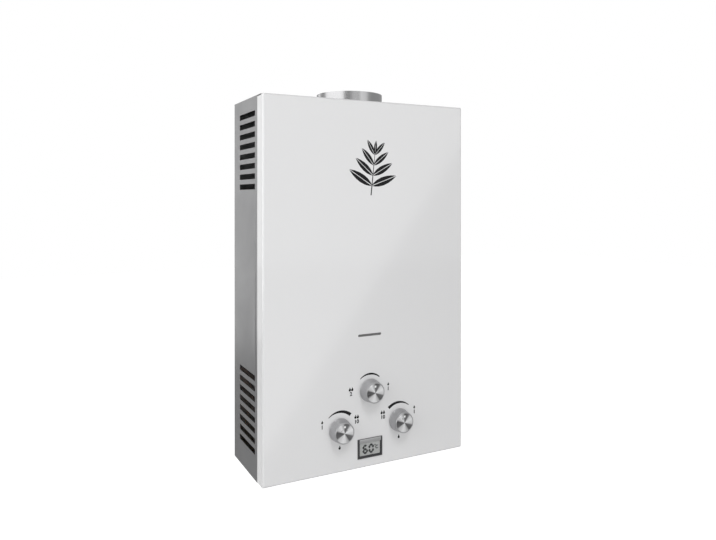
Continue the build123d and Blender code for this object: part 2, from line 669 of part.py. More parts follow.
def gas_manifold():
    """Square gas rail across the front of the burner, hollow, with its injector holes."""
    z1 = MANIFOLD_Z0 + MANIFOLD_H
    half = HALF_CHAMBER - TRAY_INSET
    wall = 2 * SHEET
    rail = block(-half, half, MANIFOLD_Y0, MANIFOLD_Y1, MANIFOLD_Z0, z1)
    rail -= block(
        -half + wall, half - wall, MANIFOLD_Y0 + wall, MANIFOLD_Y1 - wall, MANIFOLD_Z0 + wall, z1 - wall
    )
    return rail


def injector_nozzles():
    """Brass injectors on the rail, one at the mouth of each blade."""
    made = []
    mouth = CHAMBER_FRONT + TRAY_INSET + TRAY_WALL
    for x in blade_places():
        flats = RegularPolygon(NOZZLE_HEX_R, 6)
        head = Pos(x, MANIFOLD_Y1, VENTURI_Z) * Rot(-90, 0, 0) * extrude(flats, NOZZLE_HEX_R)
        made.append(head + rod_y(NOZZLE_R, x, MANIFOLD_Y1, mouth + NOZZLE_R, VENTURI_Z))
    return made


def manifold_brackets():
    """End plates that hang the gas rail on the burner tray."""
    made = []
    for side in (-1, 1):
        inner = side * (HALF_CHAMBER - TRAY_INSET)
        outer = inner + side * BRACKET_T
        x0, x1 = min(inner, outer), max(inner, outer)
        y1 = CHAMBER_FRONT + TRAY_INSET + 2 * BRACKET_FOOT
        z_top = TRAY_BOTTOM + BRACKET_FOOT
        plate = block(x0, x1, MANIFOLD_Y0, y1, MANIFOLD_Z0, z_top)
        made.append(plate)
    return made


def gas_valve_body():
    """Cast gas valve: guide for the push rod, outlet chamber, seat and inlet chamber on one axis."""
    x0, x1 = GAS_BODY_X
    body = block(x0, x1, VALVE_FRONT, GAS_BACK, GAS_Z0, GAS_Z1)
    body = fillet(body.edges().filter_by(Axis.X), 2 * SHEET)
    body -= rod_x(ROD_R + RUN_FIT, OUTLET_X, x1 + SHEET, ROD_Y, ROD_Z)
    body -= rod_x(OUTLET_R, SEAT_X + 2 * SHEET, OUTLET_X, ROD_Y, ROD_Z)
    body -= rod_x(SEAT_R, SEAT_X, SEAT_X + 2 * SHEET, ROD_Y, ROD_Z)
    body -= rod_x(POPPET_CAVITY_R, x0 - SHEET, SEAT_X, ROD_Y, ROD_Z)
    body -= rod_z(CONNECTOR_BORE_R, SOLENOID_X, ROD_Y, GAS_Z0 - SHEET, ROD_Z)
    body -= rod_z(TUBE_R - TUBE_WALL, (SEAT_X + OUTLET_X) / 2, ROD_Y, ROD_Z, GAS_Z1 + SHEET)
    body -= rod_y(PLUNGER_R + RUN_FIT, SOLENOID_X, ROD_Y, GAS_BACK + SHEET, ROD_Z)
    return body - spindle_bore("gas")


def spindle_bore(name):
    """Running-fit bore for a knob's spindle."""
    x, z = KNOB_PLACES[name]
    return rod_y(SPINDLE_R + RUN_FIT, x, VALVE_FRONT - SHEET, VALVE_FRONT + SPINDLE_DEPTH + SEAM_GAP, z)


def gas_valve_cap():
    """Screwed cap that closes the inlet chamber and carries the spring."""
    x0 = GAS_BODY_X[0]
    cap = rod_x(POPPET_CAVITY_R + 3 * SHEET, x0 - CAP_T, x0, ROD_Y, ROD_Z)
    cap += rod_x(POPPET_CAVITY_R - SHEET_GAP, x0, x0 + 2 * SHEET, ROD_Y, ROD_Z)
    return cap


def gas_poppet():
    """Valve disc on the end of the push rod."""
    disc = rod_x(POPPET_R, POPPET_LEFT_X, POPPET_CLOSED_X, ROD_Y, ROD_Z)
    return chamfer(disc.edges(), SHEET / 2)


def quarter_biarc(start, start_dir, end, end_dir):
    """Two tangent arcs between two points with given directions."""
    chord = end - start
    both = start_dir + end_dir
    a = 2 * (start_dir.dot(end_dir) - 1)
    b = -2 * chord.dot(both)
    c = chord.dot(chord)
    d = (-b - math.sqrt(b * b - 4 * a * c)) / (2 * a)
    joint = (start + start_dir * d + end - end_dir * d) * 0.5
    first = TangentArc(start, joint, tangent=start_dir)
    return [first, TangentArc(joint, end, tangent=first % 1)]


def poppet_spring():
    """Coil spring between the cap and the poppet, laid along X."""
    x0 = GAS_BODY_X[0] + 2 * SHEET + SPRING_WIRE_R + SEAT_GAP
    x1 = POPPET_LEFT_X - SPRING_WIRE_R - SEAT_GAP
    step = (x1 - x0) / (4 * SPRING_TURNS)
    rise = step / (math.pi / 2)

    def place(i):
        turn = i * math.pi / 2
        at = Vector(x0 + i * step, ROD_Y + SPRING_R * math.cos(turn), ROD_Z + SPRING_R * math.sin(turn))
        along = Vector(rise, -SPRING_R * math.sin(turn), SPRING_R * math.cos(turn)).normalized()
        return at, along

    arcs = []
    for i in range(4 * SPRING_TURNS):
        arcs += quarter_biarc(*place(i), *place(i + 1))
    path = Wire(arcs)
    at, along = place(0)
    return sweep(Plane(origin=at, z_dir=along) * Circle(SPRING_WIRE_R), path)


def solenoid_coil():
    """Holding coil on the back of the gas valve."""
    coil = rod_y(SOLENOID_R, SOLENOID_X, GAS_BACK, GAS_BACK + SOLENOID_LENGTH, ROD_Z)
    plate = block(
        SOLENOID_X - SOLENOID_R / 2,
        SOLENOID_X + SOLENOID_R / 2,
        GAS_BACK,
        GAS_BACK + SOLENOID_LENGTH,
        ROD_Z - SOLENOID_R - 2 * SHEET,
        ROD_Z + SOLENOID_R + 2 * SHEET,
    )
    bore_end = GAS_BACK + SOLENOID_LENGTH - SHEET
    return coil + plate - rod_y(PLUNGER_R + RUN_FIT, SOLENOID_X, GAS_BACK - SHEET, bore_end, ROD_Z)


def solenoid_plunger():
    """Iron plunger that the coil draws back."""
    y1 = GAS_BACK + SOLENOID_LENGTH - SHEET - PLUNGER_TRAVEL - SEAM_GAP
    return rod_y(PLUNGER_R, SOLENOID_X, GAS_BACK - PLUNGER_R, y1, ROD_Z)


def gas_riser():
    """Gas tube from the valve's outlet up to the rail."""
    x = (SEAT_X + OUTLET_X) / 2
    y1 = (MANIFOLD_Y0 + MANIFOLD_Y1) / 2
    mid = (GAS_Z1 + MANIFOLD_Z0) / 2
    points = [(x, ROD_Y, GAS_Z1), (x, ROD_Y, mid), (x, y1, mid), (x, y1, MANIFOLD_Z0)]
    return bent_tube(points, [2 * TUBE_R, 2 * TUBE_R], TUBE_R, TUBE_R - TUBE_WALL)


def season_valve_body():
    """Changeover cock under the gas rail, turned by the upper knob."""
    half = SEASON_W / 2
    body = block(-half, half, MANIFOLD_Y0, MANIFOLD_Y0 + SEASON_D, KNOB_TOP_Z - half + SHEET, MANIFOLD_Z0)
    x, z = KNOB_PLACES["season"]
    body = fillet(body.edges().filter_by(Axis.Y), 2 * SHEET)
    return body - rod_y(
        SPINDLE_R + RUN_FIT, x, MANIFOLD_Y0 - SHEET, MANIFOLD_Y0 + SPINDLE_DEPTH + SEAM_GAP, z
    )


def water_valve_body():
    """Cast water valve with the diaphragm flange, inlet, drain and regulator bores."""
    half_d = WATER_BODY_D / 2
    body = block(WATER_X0, WATER_X1, ROD_Y - half_d, ROD_Y + half_d, WATER_Z0, WATER_Z1)
    body = fillet(body.edges().filter_by(Axis.X), 2 * SHEET)
    body += rod_x(DIAPHRAGM_R, WATER_X0, WATER_X0 + FLANGE_T, ROD_Y, ROD_Z)
    body += rod_y(KNOB_FACE_R - 5 * SHEET, KNOB_SIDE_X, VALVE_FRONT, ROD_Y, ROD_Z)
    body -= rod_x(DIAPHRAGM_CAVITY_R, WATER_X0 - SHEET, WATER_X0 + FLANGE_T - 2 * SHEET, ROD_Y, ROD_Z)
    body -= rod_x(CONNECTOR_BORE_R, WATER_X0, COLD_X, ROD_Y, ROD_Z)
    body -= rod_z(CONNECTOR_BORE_R, COLD_X, ROD_Y, WATER_Z0 - SHEET, ROD_Z)
    body -= rod_z(TUBE_R - TUBE_WALL, COLD_X, ROD_Y, ROD_Z, WATER_Z1 + SHEET)
    body -= rod_z(DRAIN_R + RUN_FIT, DRAIN_X, ROD_Y, WATER_Z0 - SHEET, ROD_Z)
    screw_end = WATER_X0 + FLANGE_T + SHEET
    body = cut_all(body, [rod_x(SCREW_R, WATER_X0 - SHEET, screw_end, y, z) for y, z in ring()])
    return body - spindle_bore("water")


def ring():
    """Places of the diaphragm screws round the flange."""
    radius = DIAPHRAGM_R - SCREW_HEAD_R - SHEET / 2
    angles = [math.radians(45 + 90 * i) for i in range(4)]
    return [(ROD_Y + radius * math.cos(a), ROD_Z + radius * math.sin(a)) for a in angles]


def diaphragm():
    """Rubber disc clamped between the flange and its cover."""
    disc = rod_x(DIAPHRAGM_R, DIAPHRAGM_X, WATER_X0, ROD_Y, ROD_Z)
    hole = SCREW_R + SCREW_CLEAR
    return cut_all(disc, [rod_x(hole, DIAPHRAGM_X - SHEET, WATER_X0 + SHEET, y, z) for y, z in ring()])


def diaphragm_cover():
    """Cover with the push rod's guide in its nose."""
    x1, x0 = DIAPHRAGM_X, DIAPHRAGM_X - FLANGE_T
    cover = rod_x(DIAPHRAGM_R, x0, x1, ROD_Y, ROD_Z)
    cover += rod_x(DIAPHRAGM_CAVITY_R + 2 * SHEET, COVER_X0 + COVER_NOSE / 3, x1, ROD_Y, ROD_Z)
    cover += rod_x(ROD_R + 3 * SHEET, COVER_X0, x1, ROD_Y, ROD_Z)
    cavity_x0 = x1 - DIAPHRAGM_PLATE_T - ROD_TRAVEL - SHEET
    cover -= rod_x(DIAPHRAGM_CAVITY_R, cavity_x0, x1 + SHEET, ROD_Y, ROD_Z)
    cover -= rod_x(ROD_R + RUN_FIT, COVER_X0 - SHEET, x1, ROD_Y, ROD_Z)
    hole = SCREW_R + SCREW_CLEAR
    return cut_all(cover, [rod_x(hole, x0 - FLANGE_T, x1 + SHEET, y, z) for y, z in ring()])


def push_rod():
    """Rod with the diaphragm plate at one end and the micro-switch collar midway."""
    rod = rod_x(ROD_R, POPPET_CLOSED_X, DIAPHRAGM_X - SEAT_GAP, ROD_Y, ROD_Z)
    plate_x = DIAPHRAGM_X - DIAPHRAGM_PLATE_T
    rod += rod_x(DIAPHRAGM_PLATE_R, plate_x, DIAPHRAGM_X - SEAT_GAP, ROD_Y, ROD_Z)
    return rod + rod_x(COLLAR_R, COLLAR_X, COLLAR_X + COLLAR_T, ROD_Y, ROD_Z)


def diaphragm_screws():
    """Four screws through the cover into the flange."""
    x0 = DIAPHRAGM_X - FLANGE_T
    made = []
    for y, z in ring():
        head = rod_x(SCREW_HEAD_R, x0 - SCREW_HEAD_H, x0, y, z)
        made.append(head + rod_x(SCREW_R - SCREW_CLEAR, x0, WATER_X0 + FLANGE_T, y, z))
    return made


def microswitch():
    """Switch case beside the gas valve, with two ears for its lever."""
    x0 = GAS_BODY_X[1]
    z0 = LEVER_Z + 2 * LEVER_PIN_R
    case = block(x0, x0 + SWITCH_W, ROD_Y - SWITCH_D / 2, ROD_Y + SWITCH_D / 2, z0, z0 + SWITCH_H)
    for side in (-1, 1):
        y_out = ROD_Y + side * SWITCH_D / 2
        y_in = y_out - side * SWITCH_EAR_T
        ear_z0 = LEVER_Z - 2 * LEVER_PIN_R
        y_low, y_high = min(y_in, y_out), max(y_in, y_out)
        case += block(LEVER_X - 3 * SHEET, LEVER_X + 3 * SHEET, y_low, y_high, ear_z0, z0)
    return case - rod_y(LEVER_PIN_R + RUN_FIT, LEVER_X, ROD_Y - SWITCH_D, ROD_Y + SWITCH_D, LEVER_Z)


def microswitch_lever():
    """Lever on its pin, pushed by the collar on the rod."""
    pin_half = SWITCH_D / 2
    lever = rod_y(LEVER_PIN_R, LEVER_X, ROD_Y - pin_half, ROD_Y + pin_half, LEVER_Z)
    half_t, half_w = LEVER_T / 2, LEVER_W / 2
    z0 = LEVER_Z - LEVER_ARM
    return lever + block(LEVER_X - half_t, LEVER_X + half_t, ROD_Y - half_w, ROD_Y + half_w, z0, LEVER_Z)


def spindle(name):
    """Brass spindle from a knob into its valve."""
    x, z = KNOB_PLACES[name]
    seat = MANIFOLD_Y0 if name == "season" else VALVE_FRONT
    return rod_y(SPINDLE_R, x, FRONT_Y - SPINDLE_IN_KNOB, seat + SPINDLE_DEPTH, z)


def knob(name):
    """Tapered knob with a recess for its face disc and a bore for the spindle."""
    x, z = KNOB_PLACES[name]
    base, face = FRONT_Y - KNOB_GAP, FRONT_Y - KNOB_PROUD
    recess_r, floor = KNOB_CAP_R + RUN_FIT, face + KNOB_CAP_T
    bore_r, bore_end = SPINDLE_R + RUN_FIT, FRONT_Y - SPINDLE_IN_KNOB - SEAT_GAP
    profile = Polygon(
        (bore_r, base),
        (KNOB_BASE_R, base),
        (KNOB_BASE_R, base - KNOB_GAP),
        (KNOB_FACE_R + KNOB_GAP / 2, face + KNOB_GAP / 2),
        (KNOB_FACE_R, face),
        (recess_r, face),
        (recess_r, floor),
        (0, floor),
        (0, bore_end),
        (bore_r, bore_end),
        align=None,
    )
    return Pos(x, 0, z) * revolve(profile, Axis.Y)


def knob_cap(name):
    """Spun face disc with a pointer dimple that stands straight up at rest."""
    x, z = KNOB_PLACES[name]
    face = FRONT_Y - KNOB_PROUD
    disc = rod_y(KNOB_CAP_R, x, face, face + KNOB_CAP_T, z)
    return disc - rod_y(DIMPLE_R, x, face - SHEET, face + DIMPLE_DEPTH, z + DIMPLE_AT)


def connector(x, top):
    """Half-inch threaded stub with a hexagon that sits on the casing floor."""
    shoulder_z = BOTTOM_UNDER - LOCK_NUT_T
    stub = rod_z(THREAD_R, x, ROD_Y, -CONNECTOR_DROP, shoulder_z)
    stub += rod_z(CONNECTOR_SHOULDER_R, x, ROD_Y, shoulder_z, BOTTOM_TOP)
    stub += hex_nut(LOCK_NUT_AF, x, ROD_Y, BOTTOM_TOP, BOTTOM_TOP + 2 * LOCK_NUT_T, CONNECTOR_BORE_R)
    stub += rod_z(CONNECTOR_SHOULDER_R, x, ROD_Y, BOTTOM_TOP + LOCK_NUT_T, top)
    return stub - rod_z(CONNECTOR_BORE_R, x, ROD_Y, -CONNECTOR_DROP - SHEET, top + SHEET)


def lock_nuts():
    """Nuts under the casing floor, one on each connection."""
    z0 = BOTTOM_UNDER - LOCK_NUT_T
    bore = CONNECTOR_SHOULDER_R + RUN_FIT
    return [hex_nut(LOCK_NUT_AF, x, ROD_Y, z0, BOTTOM_UNDER, bore) for x in (COLD_X, HOT_X, SOLENOID_X)]


def hot_connector_top():
    """Height where the hot pipe meets its connection."""
    return BOTTOM_TOP + 6 * LOCK_NUT_T


def cold_pipe():
    """Copper pipe from the water valve to the start of the exchanger tube."""
    mid = (WATER_Z1 + TRAY_BOTTOM) / 2
    points = [
        (COLD_X, ROD_Y, WATER_Z1),
        (COLD_X, ROD_Y, mid),
        (COLD_TUBE_X, CHAMBER_MID, mid),
        (COLD_TUBE_X, CHAMBER_MID, CHAMBER_BOTTOM + 2 * TUBE_R),
    ]
    return bent_tube(points, [3 * TUBE_R, 3 * TUBE_R], TUBE_R, TUBE_R - TUBE_WALL)


def hot_pipe():
    """Copper pipe from the finned rows down to the hot connection."""
    y = TUBE_ROW_Y[-1]
    points = [
        (HOT_TOP_X, y, TUBE_Z - COIL_RISE),
        (HOT_TOP_X, y, CHAMBER_BOTTOM + 2 * TUBE_R),
        (HOT_X, ROD_Y, TRAY_BOTTOM),
        (HOT_X, ROD_Y, hot_connector_top()),
    ]
    return bent_tube(points, [3 * TUBE_R, 3 * TUBE_R], TUBE_R, TUBE_R - TUBE_WALL)


def drain_valve():
    """Drain and relief screw with a wing grip below the casing."""
    stem = rod_z(DRAIN_R, DRAIN_X, ROD_Y, -DRAIN_DROP / 3, WATER_Z0 + DRAIN_REACH)
    half, half_t = DRAIN_WING / 2, DRAIN_R / 2
    wing = block(
        DRAIN_X - half, DRAIN_X + half, ROD_Y - half_t, ROD_Y + half_t, -DRAIN_DROP, -DRAIN_DROP / 3
    )
    wing = fillet(wing.edges().filter_by(Axis.Y), half_t)
    return stem + wing


def battery_box():
    """Moulded box for two cells, open below, with holes for the door's pins."""
    wall = BATTERY_WALL
    box = block(BOX_X0, BOX_X1, BOX_Y0, BOX_Y1, 0, BOX_TOP)
    box -= block(BOX_X0 + wall, BOX_X1 - wall, BOX_Y0 + wall, BOX_Y1 - wall, -wall, BOX_TOP - wall)
    z0 = BOTTOM_TOP
    rim = block(
        BOX_X0 - wall, BOX_X1 + 2 * PLATE_HOLE_GAP, BOX_Y0 - wall, BOX_Y1 + wall, z0, z0 + wall
    )
    box += rim - block(BOX_X0 + wall, BOX_X1 - wall, BOX_Y0 + wall, BOX_Y1 - wall, 0, BOX_TOP)
    return box - rod_y(DOOR_PIN_R + RUN_FIT, DOOR_AXIS_X, BOX_Y0 - wall, BOX_Y1 + wall, DOOR_T / 2)


def batteries():
    """Two round cells standing side by side."""
    x = (BOX_X0 + BOX_X1) / 2
    made = []
    for i in range(2):
        y = BOX_Y0 + BATTERY_WALL + BATTERY_CLEAR + CELL_R + i * (2 * CELL_R + BATTERY_CLEAR)
        can = rod_z(CELL_R, x, y, CELL_Z, CELL_Z + CELL_LENGTH)
        can = fillet(can.edges().filter_by(GeomType.CIRCLE), SHEET)
        made.append(can + rod_z(CELL_NUB_R, x, y, CELL_Z, CELL_Z + CELL_LENGTH + CELL_NUB_H))
    return made


def battery_door():
    """Door of the battery box, turning on two stub pins along its inner edge."""
    x1 = BOX_X1 - BATTERY_WALL - DOOR_GAP
    y0, y1 = BOX_Y0 + BATTERY_WALL + DOOR_GAP, BOX_Y1 - BATTERY_WALL - DOOR_GAP
    mid = DOOR_T / 2
    door = block(DOOR_AXIS_X, x1, y0, y1, 0, DOOR_T) + rod_y(mid, DOOR_AXIS_X, y0, y1, mid)
    pin_y0, pin_y1 = BOX_Y0 + DOOR_GAP, BOX_Y1 - DOOR_GAP
    door += rod_y(DOOR_PIN_R, DOOR_AXIS_X, pin_y0, pin_y1, mid)
    nail = rod_y(DOOR_T, x1, (2 * y0 + y1) / 3, (y0 + 2 * y1) / 3, -mid)
    return door - nail


def pulse_igniter():
    """Spark unit on the back plate."""
    x1 = BOX_X1
    case = block(x1 - IGNITER_W, x1, -SHEET - IGNITER_D, -SHEET, IGNITER_Z, IGNITER_Z + IGNITER_H)
    return fillet(case.edges().filter_by(Axis.Y), 2 * SHEET)


def electrode(side):
    """Ceramic rod through the chamber's front wall with a bare wire tip."""
    x = side * ELECTRODE_X
    y0 = CHAMBER_FRONT - CERAMIC_LENGTH / 2
    y1 = y0 + CERAMIC_LENGTH
    rod = rod_y(CERAMIC_R, x, y0, y1, ELECTRODE_Z)
    rod += rod_y(CERAMIC_R + SHEET, x, y0 + 2 * SHEET, CHAMBER_FRONT, ELECTRODE_Z)
    return rod + rod_y(ELECTRODE_WIRE_R, x, y1, y1 + CERAMIC_LENGTH / 2, ELECTRODE_Z)


def ignition_leads():
    """High-tension lead and sensor lead from the spark unit to the two electrodes."""
    y0 = CHAMBER_FRONT - CERAMIC_LENGTH / 2
    y_run = FRONT_IN + 3 * LEAD_R
    z, z_up = ELECTRODE_Z, ELECTRODE_Z + 6 * LEAD_R
    y_unit = -SHEET - IGNITER_D
    z_unit = IGNITER_Z + IGNITER_H * 3 / 4
    x_unit = BOX_X1 - IGNITER_W * 3 / 4, BOX_X1 - IGNITER_W / 4
    exit_bend = y0 - y_run - SEAT_GAP
    spark = [
        (ELECTRODE_X, y0, z),
        (ELECTRODE_X, y_run, z),
        (x_unit[0], y_run, z),
        (x_unit[0], y_unit - 2 * LEAD_BEND, z_unit),
        (x_unit[0], y_unit, z_unit),
    ]
    sense = [
        (-ELECTRODE_X, y0, z),
        (-ELECTRODE_X, y_run, z),
        (-ELECTRODE_X / 3, y_run, z_up),
        (x_unit[1], y_run, z_up),
        (x_unit[1], y_unit - 2 * LEAD_BEND, z_unit),
        (x_unit[1], y_unit, z_unit),
    ]
    bends = [LEAD_BEND, LEAD_BEND]
    return [
        bent_tube(spark, [exit_bend] + bends, LEAD_R),
        bent_tube(sense, [exit_bend, LEAD_BEND] + bends, LEAD_R),
    ]


def display_frame(grow, y0, y1):
    """Upright block on the display's centre, grown by a border all round."""
    half_w, half_h = DISPLAY_W / 2 + grow, DISPLAY_H / 2 + grow
    return block(-half_w, half_w, y0, y1, DISPLAY_Z - half_h, DISPLAY_Z + half_h)


def display_bezel():
    """Frame round the display, with a spigot in the cover's window and a ledge for the lens."""
    front = FRONT_Y - BEZEL_PROUD
    rim = display_frame(0, front, FRONT_Y)
    rim = fillet(rim.faces().sort_by(Axis.Y)[0].edges(), BEZEL_PROUD / 3)
    rim += display_frame(-2 * SHEET - SHEET_GAP, FRONT_Y, FRONT_IN)
    rim -= display_frame(-BEZEL_RIM, front - SHEET, FRONT_Y - SHEET_GAP)
    return rim - display_frame(-BEZEL_RIM - SHEET, front - SHEET, FRONT_IN + SHEET)


def display_lens():
    """Clear lens on the bezel's ledge."""
    return display_frame(-BEZEL_RIM - RUN_FIT, FRONT_Y - SHEET_GAP - LENS_T, FRONT_Y - SHEET_GAP)


def display_module():
    """Temperature display unit behind the cover."""
    return display_frame(MODULE_BORDER, FRONT_IN, FRONT_IN + MODULE_DEPTH)


def nodes():
    """Every node of the heater by name."""
    made = {
        "back_plate": back_plate(),
        "left_side_panel": side_panel(-1),
        "right_side_panel": side_panel(1),
        "top_panel": top_panel(),
        "bottom_plate": bottom_plate(),
        "front_panel": front_panel(),
        "casing_screws": casing_screws(),
        "flue_collar": flue_collar(),
        "view_window": view_window(),
        "draught_hood": draught_hood(),
        "combustion_chamber": combustion_chamber(),
        "fin_block": fin_block(),
        "exchanger_tube": exchanger_tube(),
        "chamber_brackets": chamber_brackets(),
        "overheat_cutout": overheat_cutout(),
        "burner_tray": burner_tray(),
        "burner_blades": burner_blades(),
        "gas_manifold": gas_manifold(),
        "injector_nozzles": injector_nozzles(),
        "manifold_brackets": manifold_brackets(),
        "gas_valve_body": gas_valve_body(),
        "gas_valve_cap": gas_valve_cap(),
        "gas_poppet": gas_poppet(),
        "poppet_spring": poppet_spring(),
        "solenoid_coil": solenoid_coil(),
        "solenoid_plunger": solenoid_plunger(),
        "gas_riser": gas_riser(),
        "season_valve_body": season_valve_body(),
        "water_valve_body": water_valve_body(),
        "diaphragm": diaphragm(),
        "diaphragm_cover": diaphragm_cover(),
        "push_rod": push_rod(),
        "diaphragm_screws": diaphragm_screws(),
        "microswitch": microswitch(),
        "microswitch_lever": microswitch_lever(),
        "gas_inlet_connector": connector(SOLENOID_X, GAS_Z0),
        "cold_inlet_connector": connector(COLD_X, WATER_Z0),
        "hot_outlet_connector": connector(HOT_X, hot_connector_top()),
        "lock_nuts": lock_nuts(),
        "cold_pipe": cold_pipe(),
        "hot_pipe": hot_pipe(),
        "drain_valve": drain_valve(),
        "battery_box": battery_box(),
        "batteries": batteries(),
        "battery_door": battery_door(),
        "pulse_igniter": pulse_igniter(),
        "electrodes": [electrode(1), electrode(-1)],
        "ignition_leads": ignition_leads(),
        "display_bezel": display_bezel(),
        "display_lens": display_lens(),
        "display_module": display_module(),
    }
    for name in KNOB_PLACES:
        made[name + "_spindle"] = spindle(name)
        made[name + "_knob"] = knob(name)
        made[name + "_knob_cap"] = knob_cap(name)
    return made


def write(name, shape):
    """One file per node, with the hanging holes' midpoint at the origin."""
    solids = shape if isinstance(shape, list) else [shape]
    placed = [Pos(0, 0, -HANGER_Z) * solid for piece in solids for solid in piece.solids()]
    export_step(Compound(placed), os.path.join("parts", name + ".step"))


os.makedirs("parts", exist_ok=True)
for node_name, node_shape in nodes().items():
    write(node_name, node_shape)
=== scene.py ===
import json
import math

import bmesh
import bpy
from mathutils import Matrix, Vector


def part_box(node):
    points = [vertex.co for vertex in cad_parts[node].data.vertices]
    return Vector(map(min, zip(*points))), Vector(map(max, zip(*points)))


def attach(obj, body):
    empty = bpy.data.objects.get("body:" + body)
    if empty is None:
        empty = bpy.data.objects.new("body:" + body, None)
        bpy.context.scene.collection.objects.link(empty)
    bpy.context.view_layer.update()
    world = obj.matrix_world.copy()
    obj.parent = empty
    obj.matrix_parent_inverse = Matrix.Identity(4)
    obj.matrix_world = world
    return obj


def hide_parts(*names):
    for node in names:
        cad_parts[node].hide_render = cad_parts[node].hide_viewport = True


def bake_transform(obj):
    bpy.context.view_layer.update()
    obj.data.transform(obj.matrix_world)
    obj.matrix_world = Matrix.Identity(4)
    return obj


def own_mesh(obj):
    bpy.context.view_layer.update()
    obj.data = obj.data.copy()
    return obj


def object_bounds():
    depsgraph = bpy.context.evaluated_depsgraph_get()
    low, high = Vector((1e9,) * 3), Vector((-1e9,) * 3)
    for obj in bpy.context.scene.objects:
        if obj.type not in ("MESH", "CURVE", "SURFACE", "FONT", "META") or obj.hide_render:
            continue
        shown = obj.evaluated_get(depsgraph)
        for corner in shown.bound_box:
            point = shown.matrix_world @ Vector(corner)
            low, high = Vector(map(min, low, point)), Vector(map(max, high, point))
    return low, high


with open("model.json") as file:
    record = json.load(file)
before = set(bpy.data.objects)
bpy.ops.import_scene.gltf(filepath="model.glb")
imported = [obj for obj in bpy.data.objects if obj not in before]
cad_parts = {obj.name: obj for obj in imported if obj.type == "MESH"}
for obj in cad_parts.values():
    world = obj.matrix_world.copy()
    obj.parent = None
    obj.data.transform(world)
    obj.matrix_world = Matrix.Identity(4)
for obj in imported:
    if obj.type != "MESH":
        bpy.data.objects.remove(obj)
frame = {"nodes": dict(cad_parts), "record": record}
CAD_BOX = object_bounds()
MM = 0.001
MERGE = 1e-7
CAD_MERGE = 1e-6

bl_info = {
    "name": "Wall-hung water heater",
    "version": (1, 0, 0),
    "blender": (4, 5, 0),
    "location": "View3D > Sidebar > Water Heater",
    "description": "Dresses the packed wall-hung gas water heater and sets its studio stage",
    "category": "Object",
}


class HeaterFinish(bpy.types.PropertyGroup):
    """Colours of the finishes"""

    enamel: bpy.props.FloatVectorProperty(
        name="Front enamel", description="Glossy enamel of the front cover",
        subtype="COLOR", size=4, default=(0.76, 0.76, 0.765, 1))
    side: bpy.props.FloatVectorProperty(
        name="Side sheet", description="Satin silver-grey coating of the side panels",
        subtype="COLOR", size=4, default=(0.26, 0.26, 0.264, 1))
    zinc: bpy.props.FloatVectorProperty(
        name="Zinc sheet", description="Zinc-coated back, top and bottom sheet",
        subtype="COLOR", size=4, default=(0.47, 0.48, 0.49, 1))
    bright: bpy.props.FloatVectorProperty(
        name="Bright metal", description="Spun metal of the flue collar and the knob faces",
        subtype="COLOR", size=4, default=(0.90, 0.90, 0.91, 1))
    knob: bpy.props.FloatVectorProperty(
        name="Knob metal", description="Satin plating on the sides of the knobs",
        subtype="COLOR", size=4, default=(0.46, 0.46, 0.47, 1))
    copper: bpy.props.FloatVectorProperty(
        name="Copper", description="Exchanger and water pipes",
        subtype="COLOR", size=4, default=(0.72, 0.34, 0.20, 1))
    brass: bpy.props.FloatVectorProperty(
        name="Brass", description="Valve bodies and connections",
        subtype="COLOR", size=4, default=(0.70, 0.48, 0.19, 1))
    ink: bpy.props.FloatVectorProperty(
        name="Print", description="Printed scales, signs and sprig",
        subtype="COLOR", size=4, default=(0.012, 0.012, 0.013, 1))


class HeaterKnobs(bpy.types.PropertyGroup):
    """Sizes of the three knobs"""

    ribs: bpy.props.IntProperty(
        name="Ribs", description="Fine grip ribs round each knob", default=84, min=12)
    rib_width: bpy.props.FloatProperty(
        name="Rib width", description="Width of one rib", unit="LENGTH", default=0.62 * MM, precision=5)
    rib_rise: bpy.props.FloatProperty(
        name="Rib rise", description="How far a rib stands proud",
        unit="LENGTH", default=0.22 * MM, precision=5)
    dimple: bpy.props.FloatProperty(
        name="Dimple radius", description="Pointer dimple in the face",
        unit="LENGTH", default=1.6 * MM, precision=5)
    dimple_at: bpy.props.FloatProperty(
        name="Dimple place", description="Dimple's distance from the middle",
        unit="LENGTH", default=9.3 * MM, precision=5)


class HeaterPrint(bpy.types.PropertyGroup):
    """Sizes of the print on the front cover"""

    lift: bpy.props.FloatProperty(
        name="Ink thickness", description="Thickness of the ink",
        unit="LENGTH", default=0.05 * MM, precision=6)
    scale_radius: bpy.props.FloatProperty(
        name="Scale radius", description="Middle of a lower knob's printed scale",
        unit="LENGTH", default=25.6 * MM)
    scale_sweep: bpy.props.FloatProperty(
        name="Scale sweep", description="Angle of the printed scale",
        subtype="ANGLE", default=math.radians(84))
    sign: bpy.props.FloatProperty(
        name="Sign height", description="Height of a flame or drop sign", unit="LENGTH", default=6.0 * MM)
    figure: bpy.props.FloatProperty(
        name="Figure height", description="Height of a scale figure", unit="LENGTH", default=5.4 * MM)
    figure_weight: bpy.props.FloatProperty(
        name="Figure weight", description="Thickening of a scale figure's strokes",
        unit="LENGTH", default=0.28 * MM, precision=6)
    sprig_height: bpy.props.FloatProperty(
        name="Sprig height", description="Height of the printed leaf sprig", unit="LENGTH", default=80 * MM)
    leaf_pairs: bpy.props.IntProperty(
        name="Leaf pairs", description="Pairs of leaves on the stem", default=4, min=2)


